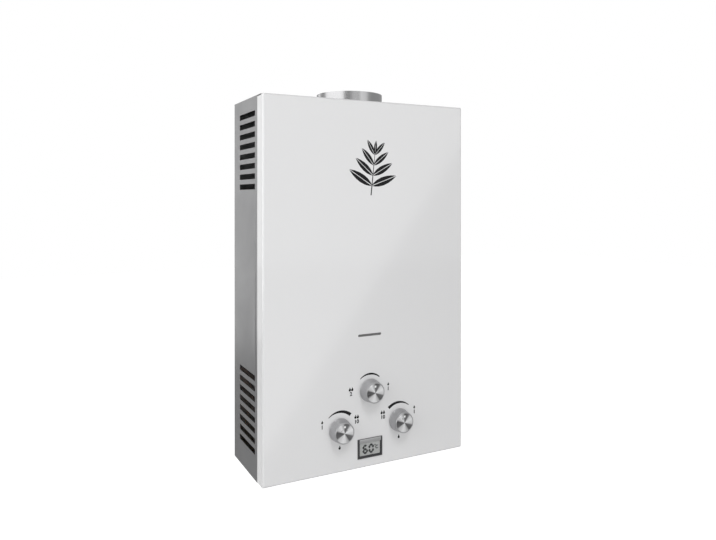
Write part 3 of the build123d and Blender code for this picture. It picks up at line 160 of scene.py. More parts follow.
class HeaterFittings(bpy.types.PropertyGroup):
    """Sizes of the louvres, screws, threads and small fittings"""

    lip_drop: bpy.props.FloatProperty(
        name="Lip drop", description="How far the louvre lips are pressed down at their tips",
        unit="LENGTH", default=2.2 * MM, precision=5)
    screw_recess: bpy.props.FloatProperty(
        name="Screw recess", description="Length of the cross recess", unit="LENGTH", default=3.6 * MM)
    thread_pitch: bpy.props.FloatProperty(
        name="Thread pitch", description="Pitch of the pipe thread",
        unit="LENGTH", default=1.814 * MM, precision=6)
    thread_depth: bpy.props.FloatProperty(
        name="Thread depth", description="Depth of the pipe thread",
        unit="LENGTH", default=0.75 * MM, precision=5)
    grip_ribs: bpy.props.IntProperty(
        name="Grip ribs", description="Grip ribs on the battery door", default=7, min=2)
    spring_turns: bpy.props.IntProperty(
        name="Spring turns", description="Turns of the gas valve's spring", default=5, min=2)
    spring_wire: bpy.props.FloatProperty(
        name="Spring wire", description="Radius of the spring's wire",
        unit="LENGTH", default=0.6 * MM, precision=5)


class HeaterStage(bpy.types.PropertyGroup):
    """Camera, floor and lamps"""

    floor_drop: bpy.props.FloatProperty(
        name="Floor drop", description="Floor's distance under the heater", unit="LENGTH", default=0.58)
    front_lamp: bpy.props.FloatProperty(
        name="Front lamp", description="Power of the large front lamp", unit="POWER", default=5.35)
    top_lamp: bpy.props.FloatProperty(
        name="Top lamp", description="Power of the lamp high before the front", unit="POWER", default=64.0)
    low_lamp: bpy.props.FloatProperty(
        name="Low lamp", description="Power of the lamp that fills the lower front",
        unit="POWER", default=2.2)
    side_lamp: bpy.props.FloatProperty(
        name="Side lamp", description="Power of the lamp to the left", unit="POWER", default=16.0)
    back_lamp: bpy.props.FloatProperty(
        name="Back lamp", description="Power of the lamp that the left side mirrors",
        unit="POWER", default=1.26)
    strip_lamp: bpy.props.FloatProperty(
        name="Strip lamp", description="Power of the lamp that the cover's left edge mirrors",
        unit="POWER", default=0.70)
    strip_top_lamp: bpy.props.FloatProperty(
        name="Strip top lamp", description="Power of the lamp that brightens the top of that edge",
        unit="POWER", default=0.42)
    ambient: bpy.props.FloatProperty(
        name="Ambient", description="Soft light from all round", default=0.28)
    mirrored: bpy.props.FloatProperty(
        name="Mirrored surround", description="Level of the surround in reflections", default=0.46)
    lens: bpy.props.FloatProperty(
        name="Lens", description="Focal length", unit="CAMERA", default=32.79)


GROUPS = {
    "heater_finish": HeaterFinish,
    "heater_knobs": HeaterKnobs,
    "heater_print": HeaterPrint,
    "heater_fittings": HeaterFittings,
    "heater_stage": HeaterStage,
}


def middle(node):
    """Middle of a node's box."""
    low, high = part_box(node)
    return (Vector(low) + Vector(high)) / 2


def settle(obj, body, slot, *nodes):
    """Puts a finished piece on its body and hides the nodes that it stands for; its finish slot is not used.
    """
    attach(obj, body)
    if nodes:
        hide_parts(*nodes)


def add_object(name, data):
    """Links a mesh, curve, lamp or camera to the scene as an object at the origin."""
    obj = bpy.data.objects.new(name, data)
    bpy.context.scene.collection.objects.link(obj)
    return obj


def to_mesh(name, bm, material=None):
    """Turns a bmesh into a mesh of one material."""
    mesh = bpy.data.meshes.new(name)
    bm.to_mesh(mesh)
    bm.free()
    if material:
        mesh.materials.append(material)
    return mesh


def solid(name, bm, material=None, smooth_angle=35):
    """Merges, turns outwards and shades a bmesh, and returns its mesh."""
    bmesh.ops.remove_doubles(bm, verts=bm.verts, dist=MERGE)
    bmesh.ops.recalc_face_normals(bm, faces=bm.faces)
    limit = math.radians(smooth_angle)
    for face in bm.faces:
        face.smooth = True
        face.material_index = 0
    for edge in bm.edges:
        edge.smooth = len(edge.link_faces) == 2 and edge.calc_face_angle(0) < limit
    return to_mesh(name, bm, material)


def joined(name, meshes, material):
    """One mesh of several, all in one material."""
    bm = bmesh.new()
    for mesh in meshes:
        bm.from_mesh(mesh)
    for face in bm.faces:
        face.material_index = 0
    return to_mesh(name, bm, material)


def merged_copy(node):
    """Copy of a node's mesh with its loose triangles joined."""
    bm = bmesh.new()
    bm.from_mesh(frame["nodes"][node].data)
    bmesh.ops.remove_doubles(bm, verts=bm.verts, dist=CAD_MERGE)
    return bm


def bridge(bm, one, two):
    """Closed band of faces between two rings of as many points."""
    for i in range(len(one)):
        j = (i + 1) % len(one)
        bm.faces.new((one[i], one[j], two[j], two[i]))


def prism(bm, outline, low, high, along=1):
    """Closed prism from a flat outline of (a, b) points, between two planes of one axis."""
    def point(a, b, c):
        return {0: (c, a, b), 1: (a, c, b), 2: (a, b, c)}[along]
    ends = [[bm.verts.new(point(a, b, level)) for a, b in outline] for level in (low, high)]
    bm.faces.new(ends[0])
    bm.faces.new(ends[1])
    bridge(bm, *ends)


def lathe(bm, profile, centre, axis=1, steps=96):
    """Turned shape from (radius, height) points round an axis. A radius of 0 makes a pole."""
    rings = []
    for radius, height in profile:
        ring = []
        for i in range(steps if radius > 0 else 1):
            angle = 2 * math.pi * i / steps
            a, b = radius * math.sin(angle), radius * math.cos(angle)
            spot = {0: (height, a, b), 1: (a, height, b), 2: (a, b, height)}[axis]
            ring.append(bm.verts.new(Vector(centre) + Vector(spot)))
        rings.append(ring)
    for one, two in zip(rings, rings[1:]):
        for i in range(steps):
            j = (i + 1) % steps
            corners = [one[i % len(one)], one[j % len(one)], two[j % len(two)], two[i % len(two)]]
            distinct = list(dict.fromkeys(corners))
            if len(distinct) > 2:
                bm.faces.new(distinct)


class Tree:
    """Adds nodes to a shader or geometry tree with their inputs set or linked."""

    def __init__(self, tree):
        self.tree = tree

    def add(self, kind, inputs=None, **settings):
        """Node of a kind, with its settings made first."""
        node = self.tree.nodes.new(kind)
        for name, value in settings.items():
            setattr(node, name, value)
        for key, value in (inputs or {}).items():
            if isinstance(value, bpy.types.NodeSocket):
                self.tree.links.new(value, node.inputs[key])
            else:
                node.inputs[key].default_value = value
        return node

    def math(self, operation, a, b=0.0, c=0.0, clamp=False):
        """Result of a sum on numbers or sockets."""
        node = self.add("ShaderNodeMath", {0: a, 1: b, 2: c}, operation=operation, use_clamp=clamp)
        return node.outputs[0]

    def vector(self, x=0.0, y=0.0, z=0.0):
        """Vector of three numbers or sockets."""
        return self.add("ShaderNodeCombineXYZ", {0: x, 1: y, 2: z}).outputs[0]

    def link(self, output, socket):
        """Links an output to a socket."""
        self.tree.links.new(output, socket)


def emptied_tree(owner):
    """Node tree of a material or world, with no nodes in it."""
    owner.use_nodes = True
    owner.node_tree.nodes.clear()
    return Tree(owner.node_tree)


def shader_group(name, inputs, outputs):
    """Empty shader group with named float sockets, its tree and the sockets of its two end nodes."""
    group = bpy.data.node_groups.new(name, "ShaderNodeTree")
    for label, default in inputs:
        socket = group.interface.new_socket(label, in_out="INPUT", socket_type="NodeSocketFloat")
        socket.default_value = default
    for label in outputs:
        group.interface.new_socket(label, in_out="OUTPUT", socket_type="NodeSocketFloat")
    tree = Tree(group)
    return tree, tree.add("NodeGroupInput").outputs, tree.add("NodeGroupOutput").inputs


def put_out_tone(tree, noise, spread, result):
    """Puts out a noise as a tone about 1 and as a height."""
    centred = tree.math("SUBTRACT", noise.outputs["Fac"], 0.5)
    tree.link(tree.math("MULTIPLY_ADD", centred, tree.math("MULTIPLY", spread, 2), 1), result["Tone"])
    tree.link(noise.outputs["Fac"], result["Height"])


def grain_group():
    """Fine grain that tones the colour and raises the surface."""
    tree, given, result = shader_group("Fine grain", [("Scale", 600), ("Spread", 0.05)], ["Tone", "Height"])
    spot = tree.add("ShaderNodeTexCoord").outputs["Object"]
    noise = tree.add("ShaderNodeTexNoise", {
        "Vector": spot, "Scale": given["Scale"], "Detail": 4, "Roughness": 0.6})
    put_out_tone(tree, noise, given["Spread"], result)


def marks_group():
    """Broad soft marks of handling and cleaning, as a roughness."""
    inputs = [("Scale", 9), ("Low", 0.3), ("High", 0.4)]
    tree, given, result = shader_group("Handling marks", inputs, ["Roughness"])
    spot = tree.add("ShaderNodeTexCoord").outputs["Object"]
    noise = tree.add("ShaderNodeTexNoise", {
        "Vector": spot, "Scale": given["Scale"], "Detail": 6, "Distortion": 0.5})
    spread = tree.add("ShaderNodeMapRange", {
        "Value": noise.outputs["Fac"], "From Min": 0.3, "From Max": 0.7,
        "To Min": given["Low"], "To Max": given["High"]})
    tree.link(spread.outputs["Result"], result["Roughness"])


def brush_group():
    """Lines left by brushing or turning, drawn out level."""
    drawn_out = 24
    inputs = [("Fine", 2600), ("Spread", 0.12)]
    tree, given, result = shader_group("Brush lines", inputs, ["Tone", "Height"])
    spot = tree.add("ShaderNodeTexCoord").outputs["Object"]
    parts = tree.add("ShaderNodeSeparateXYZ", {0: spot}).outputs
    lines = tree.vector(
        tree.math("MULTIPLY", parts["X"], drawn_out),
        tree.math("MULTIPLY", parts["Y"], drawn_out),
        tree.math("MULTIPLY", parts["Z"], given["Fine"]))
    noise = tree.add("ShaderNodeTexNoise", {"Vector": lines, "Scale": 1, "Detail": 3, "Roughness": 0.65})
    put_out_tone(tree, noise, given["Spread"], result)


def colour_socket(sockets, place=0):
    """Colour socket among the many of a Mix node."""
    return [socket for socket in sockets if socket.type == "RGBA"][place]


class Finish:
    """One procedural finish: a toned colour, marked roughness and a fine bump on a Principled shader."""

    def __init__(self, name, low, high, marks=9, metallic=0.0, coat=0.0, coat_roughness=0.04):
        self.material = bpy.data.materials.new(name)
        self.tree = emptied_tree(self.material)
        self.shader = self.tree.add("ShaderNodeBsdfPrincipled")
        self.tree.add("ShaderNodeOutputMaterial", {"Surface": self.shader.outputs[0]})
        self.constants({"Metallic": metallic})
        if coat:
            self.constants({"Coat Weight": coat, "Coat Roughness": coat_roughness})
        group = self.group("Handling marks", Scale=marks, Low=low, High=high)
        self.feed(group.outputs["Roughness"], "Roughness")

    def constants(self, values):
        """Sets sockets of the shader that are the same all over."""
        for key, value in values.items():
            self.shader.inputs[key].default_value = value
        return self

    def group(self, name, **values):
        """Places a shader group with its values."""
        node = self.tree.add("ShaderNodeGroup", node_tree=bpy.data.node_groups[name])
        for key, value in values.items():
            node.inputs[key].default_value = value
        return node

    def feed(self, output, socket):
        """Links an output to the shader."""
        self.tree.link(output, self.shader.inputs[socket])

    def toned(self, colour, tone):
        """Base colour as a colour or a socket, times a tone."""
        mix = self.tree.add("ShaderNodeMix", {"Factor": 1.0}, data_type="RGBA", blend_type="MULTIPLY")
        base = colour_socket(mix.inputs)
        if isinstance(colour, bpy.types.NodeSocket):
            self.tree.link(colour, base)
        else:
            base.default_value = colour
        self.tree.link(tone, colour_socket(mix.inputs, 1))
        out = colour_socket(mix.outputs)
        self.feed(out, "Base Color")
        return out

    def bump(self, height, strength):
        """Fine bump from a height."""
        node = self.tree.add("ShaderNodeBump", {
            "Height": height, "Strength": strength, "Distance": 0.1 * MM})
        self.feed(node.outputs["Normal"], "Normal")
        return self

    def turn_ramp(self, turn, stops, interpolation):
        """Grey ramp over a turn from 0 to 1, from (degrees from the middle, level) stops."""
        node = self.tree.add("ShaderNodeValToRGB", {"Fac": turn})
        node.color_ramp.interpolation = interpolation
        points = node.color_ramp.elements
        while len(points) < len(stops):
            points.new(0.5)
        for point, (angle, level) in zip(points, stops):
            point.position = 0.5 + angle / 360
            point.color = (level, level, level, 1)
        return node.outputs["Color"]

    def turn(self, a, b):
        """Turn from 0 to 1 of the point (a, b), with 0.5 along b."""
        return self.tree.math("MULTIPLY_ADD", self.tree.math("ARCTAN2", a, b), 0.5 / math.pi, 0.5)

    def grained(self, colour, scale, spread, bump):
        """Grain in the colour and the surface."""
        grain = self.group("Fine grain", Scale=scale, Spread=spread)
        self.toned(colour, grain.outputs["Tone"])
        return self.bump(grain.outputs["Height"], bump)

    def brushed(self, colour, fine, spread, bump):
        """Brush lines in the colour and the surface."""
        lines = self.group("Brush lines", Fine=fine, Spread=spread)
        self.toned(colour, lines.outputs["Tone"])
        return self.bump(lines.outputs["Height"], bump)


def spangled(name, colour, low, high):
    """Zinc coat with its crystal spangle."""
    finish = Finish(name, low, high, metallic=0.85)
    spot = finish.tree.add("ShaderNodeTexCoord").outputs["Object"]
    cells = finish.tree.add("ShaderNodeTexVoronoi", {"Vector": spot, "Scale": 130.0, "Randomness": 1.0})
    tone = finish.tree.add("ShaderNodeMapRange", {
        "Value": cells.outputs["Color"], "To Min": 0.84, "To Max": 1.12})
    finish.toned(colour, tone.outputs["Result"])
    return finish.bump(cells.outputs["Distance"], 0.12)


# Painted reflections round the flue collar, light and dark bands, as levels by degrees from the front towards
# the right.
COLLAR_PAINTED_REFLECTIONS = [
    (-180, 0.5), (-140, 0.8), (-112, 0.36), (-84, 0.52), (-74, 0.49), (-33, 0.49), (-28, 0.47), (-10, 0.42),
    (-6, 0.59), (4, 0.57), (9, 0.50), (45, 0.56), (66, 0.42), (80, 0.9), (120, 0.75), (140, 0.35), (180, 0.5)]
# Painted highlight and shade sectors round a knob face, as levels by degrees clockwise from its pointer.
KNOB_PAINTED_HIGHLIGHTS = [
    (-180, 0.92), (-168, 1.0), (-128, 0.80), (-108, 0.16), (-76, 0.12), (-56, 0.80), (-34, 1.0),
    (-14, 0.62), (0, 0.15), (26, 0.19), (48, 0.88), (70, 1.0), (98, 0.80), (116, 0.18), (142, 0.13),
    (160, 0.6), (180, 0.92)]


def flue_finish(name, colour, centre):
    """Bright collar metal with painted reflections in soft upright bands."""
    finish = Finish(name, 0.22, 0.32, metallic=0.95)
    tree = finish.tree
    spot = tree.add("ShaderNodeTexCoord").outputs["Object"]
    moved = tree.add("ShaderNodeMapping", {"Vector": spot, "Location": (-centre.x, -centre.y, 0)})
    parts = tree.add("ShaderNodeSeparateXYZ", {0: moved.outputs[0]}).outputs
    turn = finish.turn(parts["X"], tree.math("MULTIPLY", parts["Y"], -1))
    lines = finish.group("Brush lines", Fine=1800, Spread=0.06)
    # The ramp paints light and dark reflection bands into the collar's colour.
    painted_reflection = finish.toned(colour, finish.turn_ramp(turn, COLLAR_PAINTED_REFLECTIONS, "LINEAR"))
    finish.toned(painted_reflection, lines.outputs["Tone"])
    return finish.bump(lines.outputs["Height"], 0.05)


def spun_finish(name, colour, dimple_highlight_colour):
    """Knob face spun in fine rings, with painted highlight and shade sectors round it and a painted highlight
    on the pressed pointer dimple.
    """
    finish = Finish(name, 0.26, 0.36, marks=120, metallic=0.6)
    tree = finish.tree
    spun = tree.add("ShaderNodeAttribute", attribute_name="spun").outputs["Vector"]
    parts = tree.add("ShaderNodeSeparateXYZ", {0: spun}).outputs
    turn = finish.turn(parts["X"], parts["Z"])
    # The ramp paints highlight and shade sectors into the face's colour.
    painted_reflection = finish.toned(colour, finish.turn_ramp(turn, KNOB_PAINTED_HIGHLIGHTS, "EASE"))
    across = tree.vector(x=parts["X"], z=parts["Z"])
    radius = tree.add("ShaderNodeVectorMath", {0: across}, operation="LENGTH").outputs["Value"]
    rings = tree.add("ShaderNodeTexNoise", {"W": radius, "Scale": 5200, "Detail": 2}, noise_dimensions="1D")
    rings = rings.outputs["Fac"]
    ringed = finish.toned(painted_reflection, tree.math("MULTIPLY_ADD", rings, 0.24, 0.88))
    # A near-white colour mixed in over the pointer dimple is a painted highlight.
    pressed = tree.add("ShaderNodeMix", {"Factor": parts["Y"], "A": ringed, "B": dimple_highlight_colour},
                       data_type="RGBA")
    finish.feed(colour_socket(pressed.outputs), "Base Color")
    return finish.bump(rings, 0.08)


def clear_finish(name, colour, alpha, low, high):
    """Clear sheet that shows what lies behind it."""
    finish = Finish(name, low, high, marks=60)
    grain = finish.group("Fine grain", Scale=300, Spread=0.04)
    finish.toned(colour, grain.outputs["Tone"])
    return finish.constants({"Alpha": alpha})


COLOURS = {
    # Near-black painted shade for the closed interior seen through the louvres.
    "inner_shade_black": (0.075, 0.07, 0.068, 1),
    "cast_grey": (0.42, 0.43, 0.44, 1),
    "spring_grey": (0.40, 0.41, 0.43, 1),
    "screw_grey": (0.60, 0.61, 0.63, 1),
    "rubber_black": (0.022, 0.022, 0.023, 1),
    # Painted highlight of a knob's pointer dimple.
    "pointer_painted_highlight": (0.95, 0.95, 0.95, 1),
    "bezel_black": (0.055, 0.055, 0.058, 1),
    "lens_grey": (0.30, 0.31, 0.31, 1),
    "window_grey": (0.17, 0.17, 0.17, 1),
    "plastic_black": (0.028, 0.028, 0.030, 1),
    "ceramic_white": (0.80, 0.78, 0.73, 1),
    "wrap_blue": (0.03, 0.035, 0.06, 1),
    "panel_grey": (0.46, 0.47, 0.46, 1),
    "figure_black": (0.018, 0.020, 0.020, 1),
    # Painted highlight of the display bezel's top rim.
    "brow_painted_highlight_grey": (0.42, 0.42, 0.425, 1),
}


def make_finishes(look):
    """All finishes, one for each slot of the record and for the printed and shown surfaces."""
    grain_group()
    marks_group()
    brush_group()
    made = {
        "front_enamel": Finish("front_enamel", low=0.30, high=0.36, marks=6, coat=1.0, coat_roughness=0.09)
        .grained(look.enamel, scale=240, spread=0.008, bump=0.012).constants({"Coat IOR": 1.8}),
        "side_sheet": Finish("side_sheet", low=0.36, high=0.46, marks=14, metallic=0.65)
        .grained(look.side, scale=1500, spread=0.05, bump=0.10),
        "galvanised": spangled("galvanised", look.zinc, low=0.34, high=0.48),
        "inner_shade_sheet": spangled("inner_shade_sheet", COLOURS["inner_shade_black"], low=0.5, high=0.62),
        "flue_metal": flue_finish("flue_metal", look.bright, middle("flue_collar")),
        "copper": Finish("copper", low=0.24, high=0.42, marks=30, metallic=1.0)
        .grained(look.copper, scale=90, spread=0.16, bump=0.05),
        "brass": Finish("brass", low=0.26, high=0.40, marks=40, metallic=1.0)
        .grained(look.brass, scale=420, spread=0.08, bump=0.08),
        "cast_alloy": Finish("cast_alloy", low=0.42, high=0.58, marks=30, metallic=0.9)
        .grained(COLOURS["cast_grey"], scale=900, spread=0.10, bump=0.35),
        "spring_steel": Finish("spring_steel", low=0.24, high=0.36, marks=60, metallic=1.0)
        .grained(COLOURS["spring_grey"], scale=1200, spread=0.08, bump=0.05),
        "screw_steel": Finish("screw_steel", low=0.22, high=0.36, marks=120, metallic=1.0)
        .grained(COLOURS["screw_grey"], scale=1600, spread=0.06, bump=0.05),
        "rubber": Finish("rubber", low=0.62, high=0.78, marks=40)
        .grained(COLOURS["rubber_black"], scale=1400, spread=0.12, bump=0.2),
        "knob_metal": Finish("knob_metal", low=0.34, high=0.44, marks=120, metallic=0.75)
        .brushed(look.knob, fine=3200, spread=0.06, bump=0.05),
        "spun_metal": spun_finish("spun_metal", look.bright, COLOURS["pointer_painted_highlight"]),
        "bezel_metal": Finish("bezel_metal", low=0.34, high=0.46, marks=90, metallic=0.4)
        .brushed(COLOURS["bezel_black"], fine=3000, spread=0.10, bump=0.05),
        "lens": clear_finish("lens", COLOURS["lens_grey"], alpha=0.06, low=0.04, high=0.08),
        "window_glass": clear_finish("window_glass", COLOURS["window_grey"], alpha=0.85, low=0.20, high=0.30),
        "black_plastic": Finish("black_plastic", low=0.46, high=0.58, marks=30)
        .grained(COLOURS["plastic_black"], scale=1300, spread=0.10, bump=0.22),
        "ceramic": Finish("ceramic", low=0.14, high=0.24, marks=60, coat=0.4)
        .grained(COLOURS["ceramic_white"], scale=500, spread=0.03, bump=0.03),
        "cell_wrap": Finish("cell_wrap", low=0.20, high=0.30, marks=60, coat=0.5)
        .grained(COLOURS["wrap_blue"], scale=700, spread=0.06, bump=0.03),
        "ink": Finish("print_ink", low=0.40, high=0.52, marks=200)
        .grained(look.ink, scale=2200, spread=0.15, bump=0.06).constants({"Specular IOR Level": 0.15}),
        "panel_grey": Finish("display_grey", low=0.36, high=0.46, marks=200)
        .grained(COLOURS["panel_grey"], scale=1800, spread=0.03, bump=0.02),
        "figure_ink": Finish("display_ink", low=0.40, high=0.50, marks=200)
        .grained(COLOURS["figure_black"], scale=1800, spread=0.10, bump=0.02),
        "painted_highlight_brow": Finish("display_brow_painted_highlight", low=0.32, high=0.42, marks=120, metallic=0.6)
        .brushed(COLOURS["brow_painted_highlight_grey"], fine=3000, spread=0.05, bump=0.04),
    }
    return {name: finish.material for name, finish in made.items()}


def geometry_tree(name, *inputs):
    """Empty geometry tree with named inputs, and the sockets that it is given."""
    group = bpy.data.node_groups.new(name, "GeometryNodeTree")
    for label, kind in inputs:
        group.interface.new_socket(label, in_out="INPUT", socket_type="NodeSocket" + kind)
    group.interface.new_socket("Geometry", in_out="OUTPUT", socket_type="NodeSocketGeometry")
    tree = Tree(group)
    return tree, tree.add("NodeGroupInput").outputs


def turned_by(tree, angles):
    """Rotation from three angles."""
    return tree.add("FunctionNodeEulerToRotation", {0: angles}).outputs[0]


def close_tree(tree, geometry, place, material, turn=None):
    """Places what a geometry tree made, and ends the tree in one plain, painted mesh."""
    moves = {"Geometry": geometry, "Translation": place}
    if turn is not None:
        moves["Rotation"] = turn
    placed = tree.add("GeometryNodeTransform", moves).outputs[0]
    whole = tree.add("GeometryNodeRealizeInstances", {0: placed}).outputs[0]
    painted = tree.add("GeometryNodeSetMaterial", {"Geometry": whole, "Material": material}).outputs[0]
    tree.add("NodeGroupOutput", {0: painted})
    return tree.tree


def grown(name, tree, values, shape=None):
    """Runs a geometry tree, on a shape where it takes one, and returns the plain mesh."""
    obj = add_object(name, shape or bpy.data.meshes.new(name))
    modifier = obj.modifiers.new("grow", "NODES")
    modifier.node_group = tree
    for item in tree.interface.items_tree:
        if item.in_out == "INPUT" and item.name in values:
            modifier[item.identifier] = values[item.name]
    graph = bpy.context.evaluated_depsgraph_get()
    mesh = bpy.data.meshes.new_from_object(obj.evaluated_get(graph))
    bpy.data.objects.remove(obj)
    mesh.name = name
    return mesh


def ring_tree():
    """Copies of a shape turned evenly round a level axis."""
    tree, given = geometry_tree(
        "Ring of copies", ("Shape", "Geometry"), ("Count", "Int"), ("Centre", "Vector"),
        ("Material", "Material"))
    points = tree.add("GeometryNodePoints", {"Count": given["Count"]}).outputs[0]
    step = tree.math("DIVIDE", 2 * math.pi, given["Count"])
    angle = tree.math("MULTIPLY", tree.add("GeometryNodeInputIndex").outputs[0], step)
    ring = tree.add("GeometryNodeInstanceOnPoints", {
        "Points": points, "Instance": given["Shape"],
        "Rotation": turned_by(tree, tree.vector(y=angle))}).outputs[0]
    return close_tree(tree, ring, given["Centre"], given["Material"])


def grid_tree():
    """Copies of a shape on a flat grid, all turned alike."""
    tree, given = geometry_tree(
        "Grid of copies", ("Shape", "Geometry"), ("Columns", "Int"), ("Rows", "Int"), ("Across", "Float"),
        ("Deep", "Float"), ("Turn", "Vector"), ("Centre", "Vector"), ("Material", "Material"))
    grid = tree.add("GeometryNodeMeshGrid", {
        "Size X": given["Across"], "Size Y": given["Deep"],
        "Vertices X": given["Columns"], "Vertices Y": given["Rows"]}).outputs[0]
    copies = tree.add("GeometryNodeInstanceOnPoints", {
        "Points": grid, "Instance": given["Shape"], "Rotation": turned_by(tree, given["Turn"])}).outputs[0]
    return close_tree(tree, copies, given["Centre"], given["Material"])


def swept_helix(tree, radius, turns, length, wire, points, sides):
    """Upright helix of a wire, with so many points in a turn and sides round the wire."""
    helix = tree.add("GeometryNodeCurveSpiral", {
        "Resolution": points, "Rotations": turns, "Start Radius": radius, "End Radius": radius,
        "Height": length}).outputs[0]
    upright = tree.add("GeometryNodeSetCurveNormal", {"Curve": helix}, mode="Z_UP").outputs[0]
    section = tree.add("GeometryNodeCurvePrimitiveCircle", {"Resolution": sides, "Radius": wire}).outputs[0]
    return tree.add("GeometryNodeCurveToMesh", {
        "Curve": upright, "Profile Curve": section, "Fill Caps": True}).outputs[0]


def thread_tree():
    """Helical thread ridge on an upright stub."""
    tree, given = geometry_tree(
        "Helical thread", ("Radius", "Float"), ("Pitch", "Float"), ("Length", "Float"), ("Depth", "Float"),
        ("Centre", "Vector"), ("Material", "Material"))
    core = tree.math("SUBTRACT", given["Radius"], given["Depth"])
    turns = tree.math("DIVIDE", given["Length"], given["Pitch"])
    ridge = swept_helix(tree, core, turns, given["Length"], given["Depth"], points=40, sides=4)
    return close_tree(tree, ridge, given["Centre"], given["Material"])


def spring_tree():
    """Open coil of round wire, laid along X."""
    tree, given = geometry_tree(
        "Coil spring", ("Radius", "Float"), ("Wire", "Float"), ("Turns", "Int"), ("Length", "Float"),
        ("Start", "Vector"), ("Material", "Material"))
    coil = swept_helix(
        tree, given["Radius"], given["Turns"], given["Length"], given["Wire"], points=48, sides=12)
    level = turned_by(tree, (0, math.pi / 2, 0))
    return close_tree(tree, coil, given["Start"], given["Material"], level)


def scale_tree():
    """Flat printed arc whose width goes from left through middle to right."""
    arc_points = 65
    tree, given = geometry_tree(
        "Tapered scale", ("Radius", "Float"), ("Sweep", "Float"), ("Left", "Float"), ("Middle", "Float"),
        ("Right", "Float"), ("Centre", "Vector"), ("Material", "Material"))
    strip = tree.add("GeometryNodeMeshGrid", {
        "Size X": 1.0, "Size Y": 1.0, "Vertices X": arc_points, "Vertices Y": 2}).outputs[0]
    parts = tree.add("ShaderNodeSeparateXYZ", {0: tree.add("GeometryNodeInputPosition").outputs[0]}).outputs
    width = given["Middle"]
    for end, slope in (("Left", -2), ("Right", 2)):
        share = tree.math("MULTIPLY", parts["X"], slope, clamp=True)
        width = tree.math("MULTIPLY_ADD", tree.math("SUBTRACT", given[end], given["Middle"]), share, width)
    radius = tree.math("MULTIPLY_ADD", parts["Y"], width, given["Radius"])
    angle = tree.math("MULTIPLY", parts["X"], given["Sweep"])
    spot = tree.vector(
        x=tree.math("MULTIPLY", tree.math("SINE", angle), radius),
        z=tree.math("MULTIPLY", tree.math("COSINE", angle), radius))
    bent = tree.add("GeometryNodeSetPosition", {"Geometry": strip, "Position": spot}).outputs[0]
    return close_tree(tree, bent, given["Centre"], given["Material"])


def stem_tree():
    """Pairs of leaves up a straight stem, smaller and closer to it towards its tip."""
    lowest, leafy, closing, shrinking = 0.22, 0.70, -0.45, -0.42
    tree, given = geometry_tree(
        "Leaf stem", ("Shape", "Geometry"), ("Leaves", "Int"), ("Stem", "Float"), ("Leaf", "Float"),
        ("Spread", "Float"), ("Lean", "Float"), ("Foot", "Vector"), ("Material", "Material"))
    index = tree.add("GeometryNodeInputIndex").outputs[0]
    side = tree.math("MULTIPLY_ADD", tree.math("MODULO", index, 2), 2, -1)
    rows = tree.math("SUBTRACT", tree.math("DIVIDE", given["Leaves"], 2), 1)
    along = tree.math("DIVIDE", tree.math("FLOOR", tree.math("DIVIDE", index, 2)), rows)
    height = tree.math("MULTIPLY", tree.math("MULTIPLY_ADD", along, leafy, lowest), given["Stem"])
    points = tree.add("GeometryNodePoints", {
        "Count": given["Leaves"], "Position": tree.vector(z=height)}).outputs[0]
    opened = tree.math("MULTIPLY", tree.math("MULTIPLY_ADD", along, closing, 1.0), given["Spread"])
    turn = turned_by(tree, tree.vector(y=tree.math("MULTIPLY", side, opened)))
    size = tree.math("MULTIPLY", tree.math("MULTIPLY_ADD", along, shrinking, 1.0), given["Leaf"])
    leaves = tree.add("GeometryNodeInstanceOnPoints", {
        "Points": points, "Instance": given["Shape"], "Rotation": turn, "Scale": size}).outputs[0]
    lean = turned_by(tree, tree.vector(y=given["Lean"]))
    return close_tree(tree, leaves, given["Foot"], given["Material"], lean)


FINISHES = {}
# Inner parts given a near-black coat, which paints the shade inside the closed casing.
INNER_SHADE_PARTS = ("combustion_chamber", "draught_hood")


class HEATER_OT_casing(bpy.types.Operator):
    """Gives every carried-over solid the finish of its slot, but the chamber and hood a near-black painted
    shade
    """

    bl_idname = "heater.casing"
    bl_label = "Casing and inner parts"

    def execute(self, context):
        FINISHES.update(make_finishes(context.scene.heater_finish))
        for part in frame["record"]["subparts"]:
            node = part["node"]
            mesh = frame["nodes"][node].data
            mesh.materials.clear()
            mesh.materials.append(FINISHES["inner_shade_sheet" if node in INNER_SHADE_PARTS else part["material_slot"]])
        return {"FINISHED"}


class HEATER_OT_louvres(bpy.types.Operator):
    """Presses down the lips of the louvre slots in both side panels"""

    bl_idname = "heater.louvres"
    bl_label = "Louvres"

    def execute(self, context):
        drop = context.scene.heater_fittings.lip_drop
        tip_depth, near = 2.0 * MM, 0.1 * MM
        slots_front, slots_back = -97 * MM, -28 * MM
        for node in ("left_side_panel", "right_side_panel"):
            tip = max(abs(corner[0]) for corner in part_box(node)) - tip_depth
            bm = merged_copy(node)
            for vert in bm.verts:
                if abs(abs(vert.co.x) - tip) < near and slots_front < vert.co.y < slots_back:
                    vert.co.z -= drop
            panel = add_object(node + "_pressed", solid(node + "_pressed", bm, FINISHES["side_sheet"], 30))
            settle(panel, "casing", "side_sheet", node)
        return {"FINISHED"}


# A knob as drawn, in mm: (radius, height) of the spindle's bore, of the foot from the foot's radius and of
# the lip from the face's radius, the floor under the face, and (height, share of the rise) along a rib.
KNOB_LENGTH = 16.5
KNOB_BORE = [(0, 10.8), (3.05, 10.8), (3.05, 0)]
KNOB_FOOT = [(-0.4, 0), (0, 0.3), (0, 0.95), (-0.3, 1.25)]
KNOB_LIP = [(1.5, 13.9), (0.75, 14.1), (0.75, 15.0), (1.45, 15.2), (1.45, 15.9), (0.9, 16.5), (0.3, 16.5),
            (0.16, 16.35), (0.16, 15.3)]
KNOB_FLOOR = 15.3
KNOB_RIB = [(1.6, 0.0), (2.3, 1.0), (12.9, 1.0), (13.6, 0.0)]


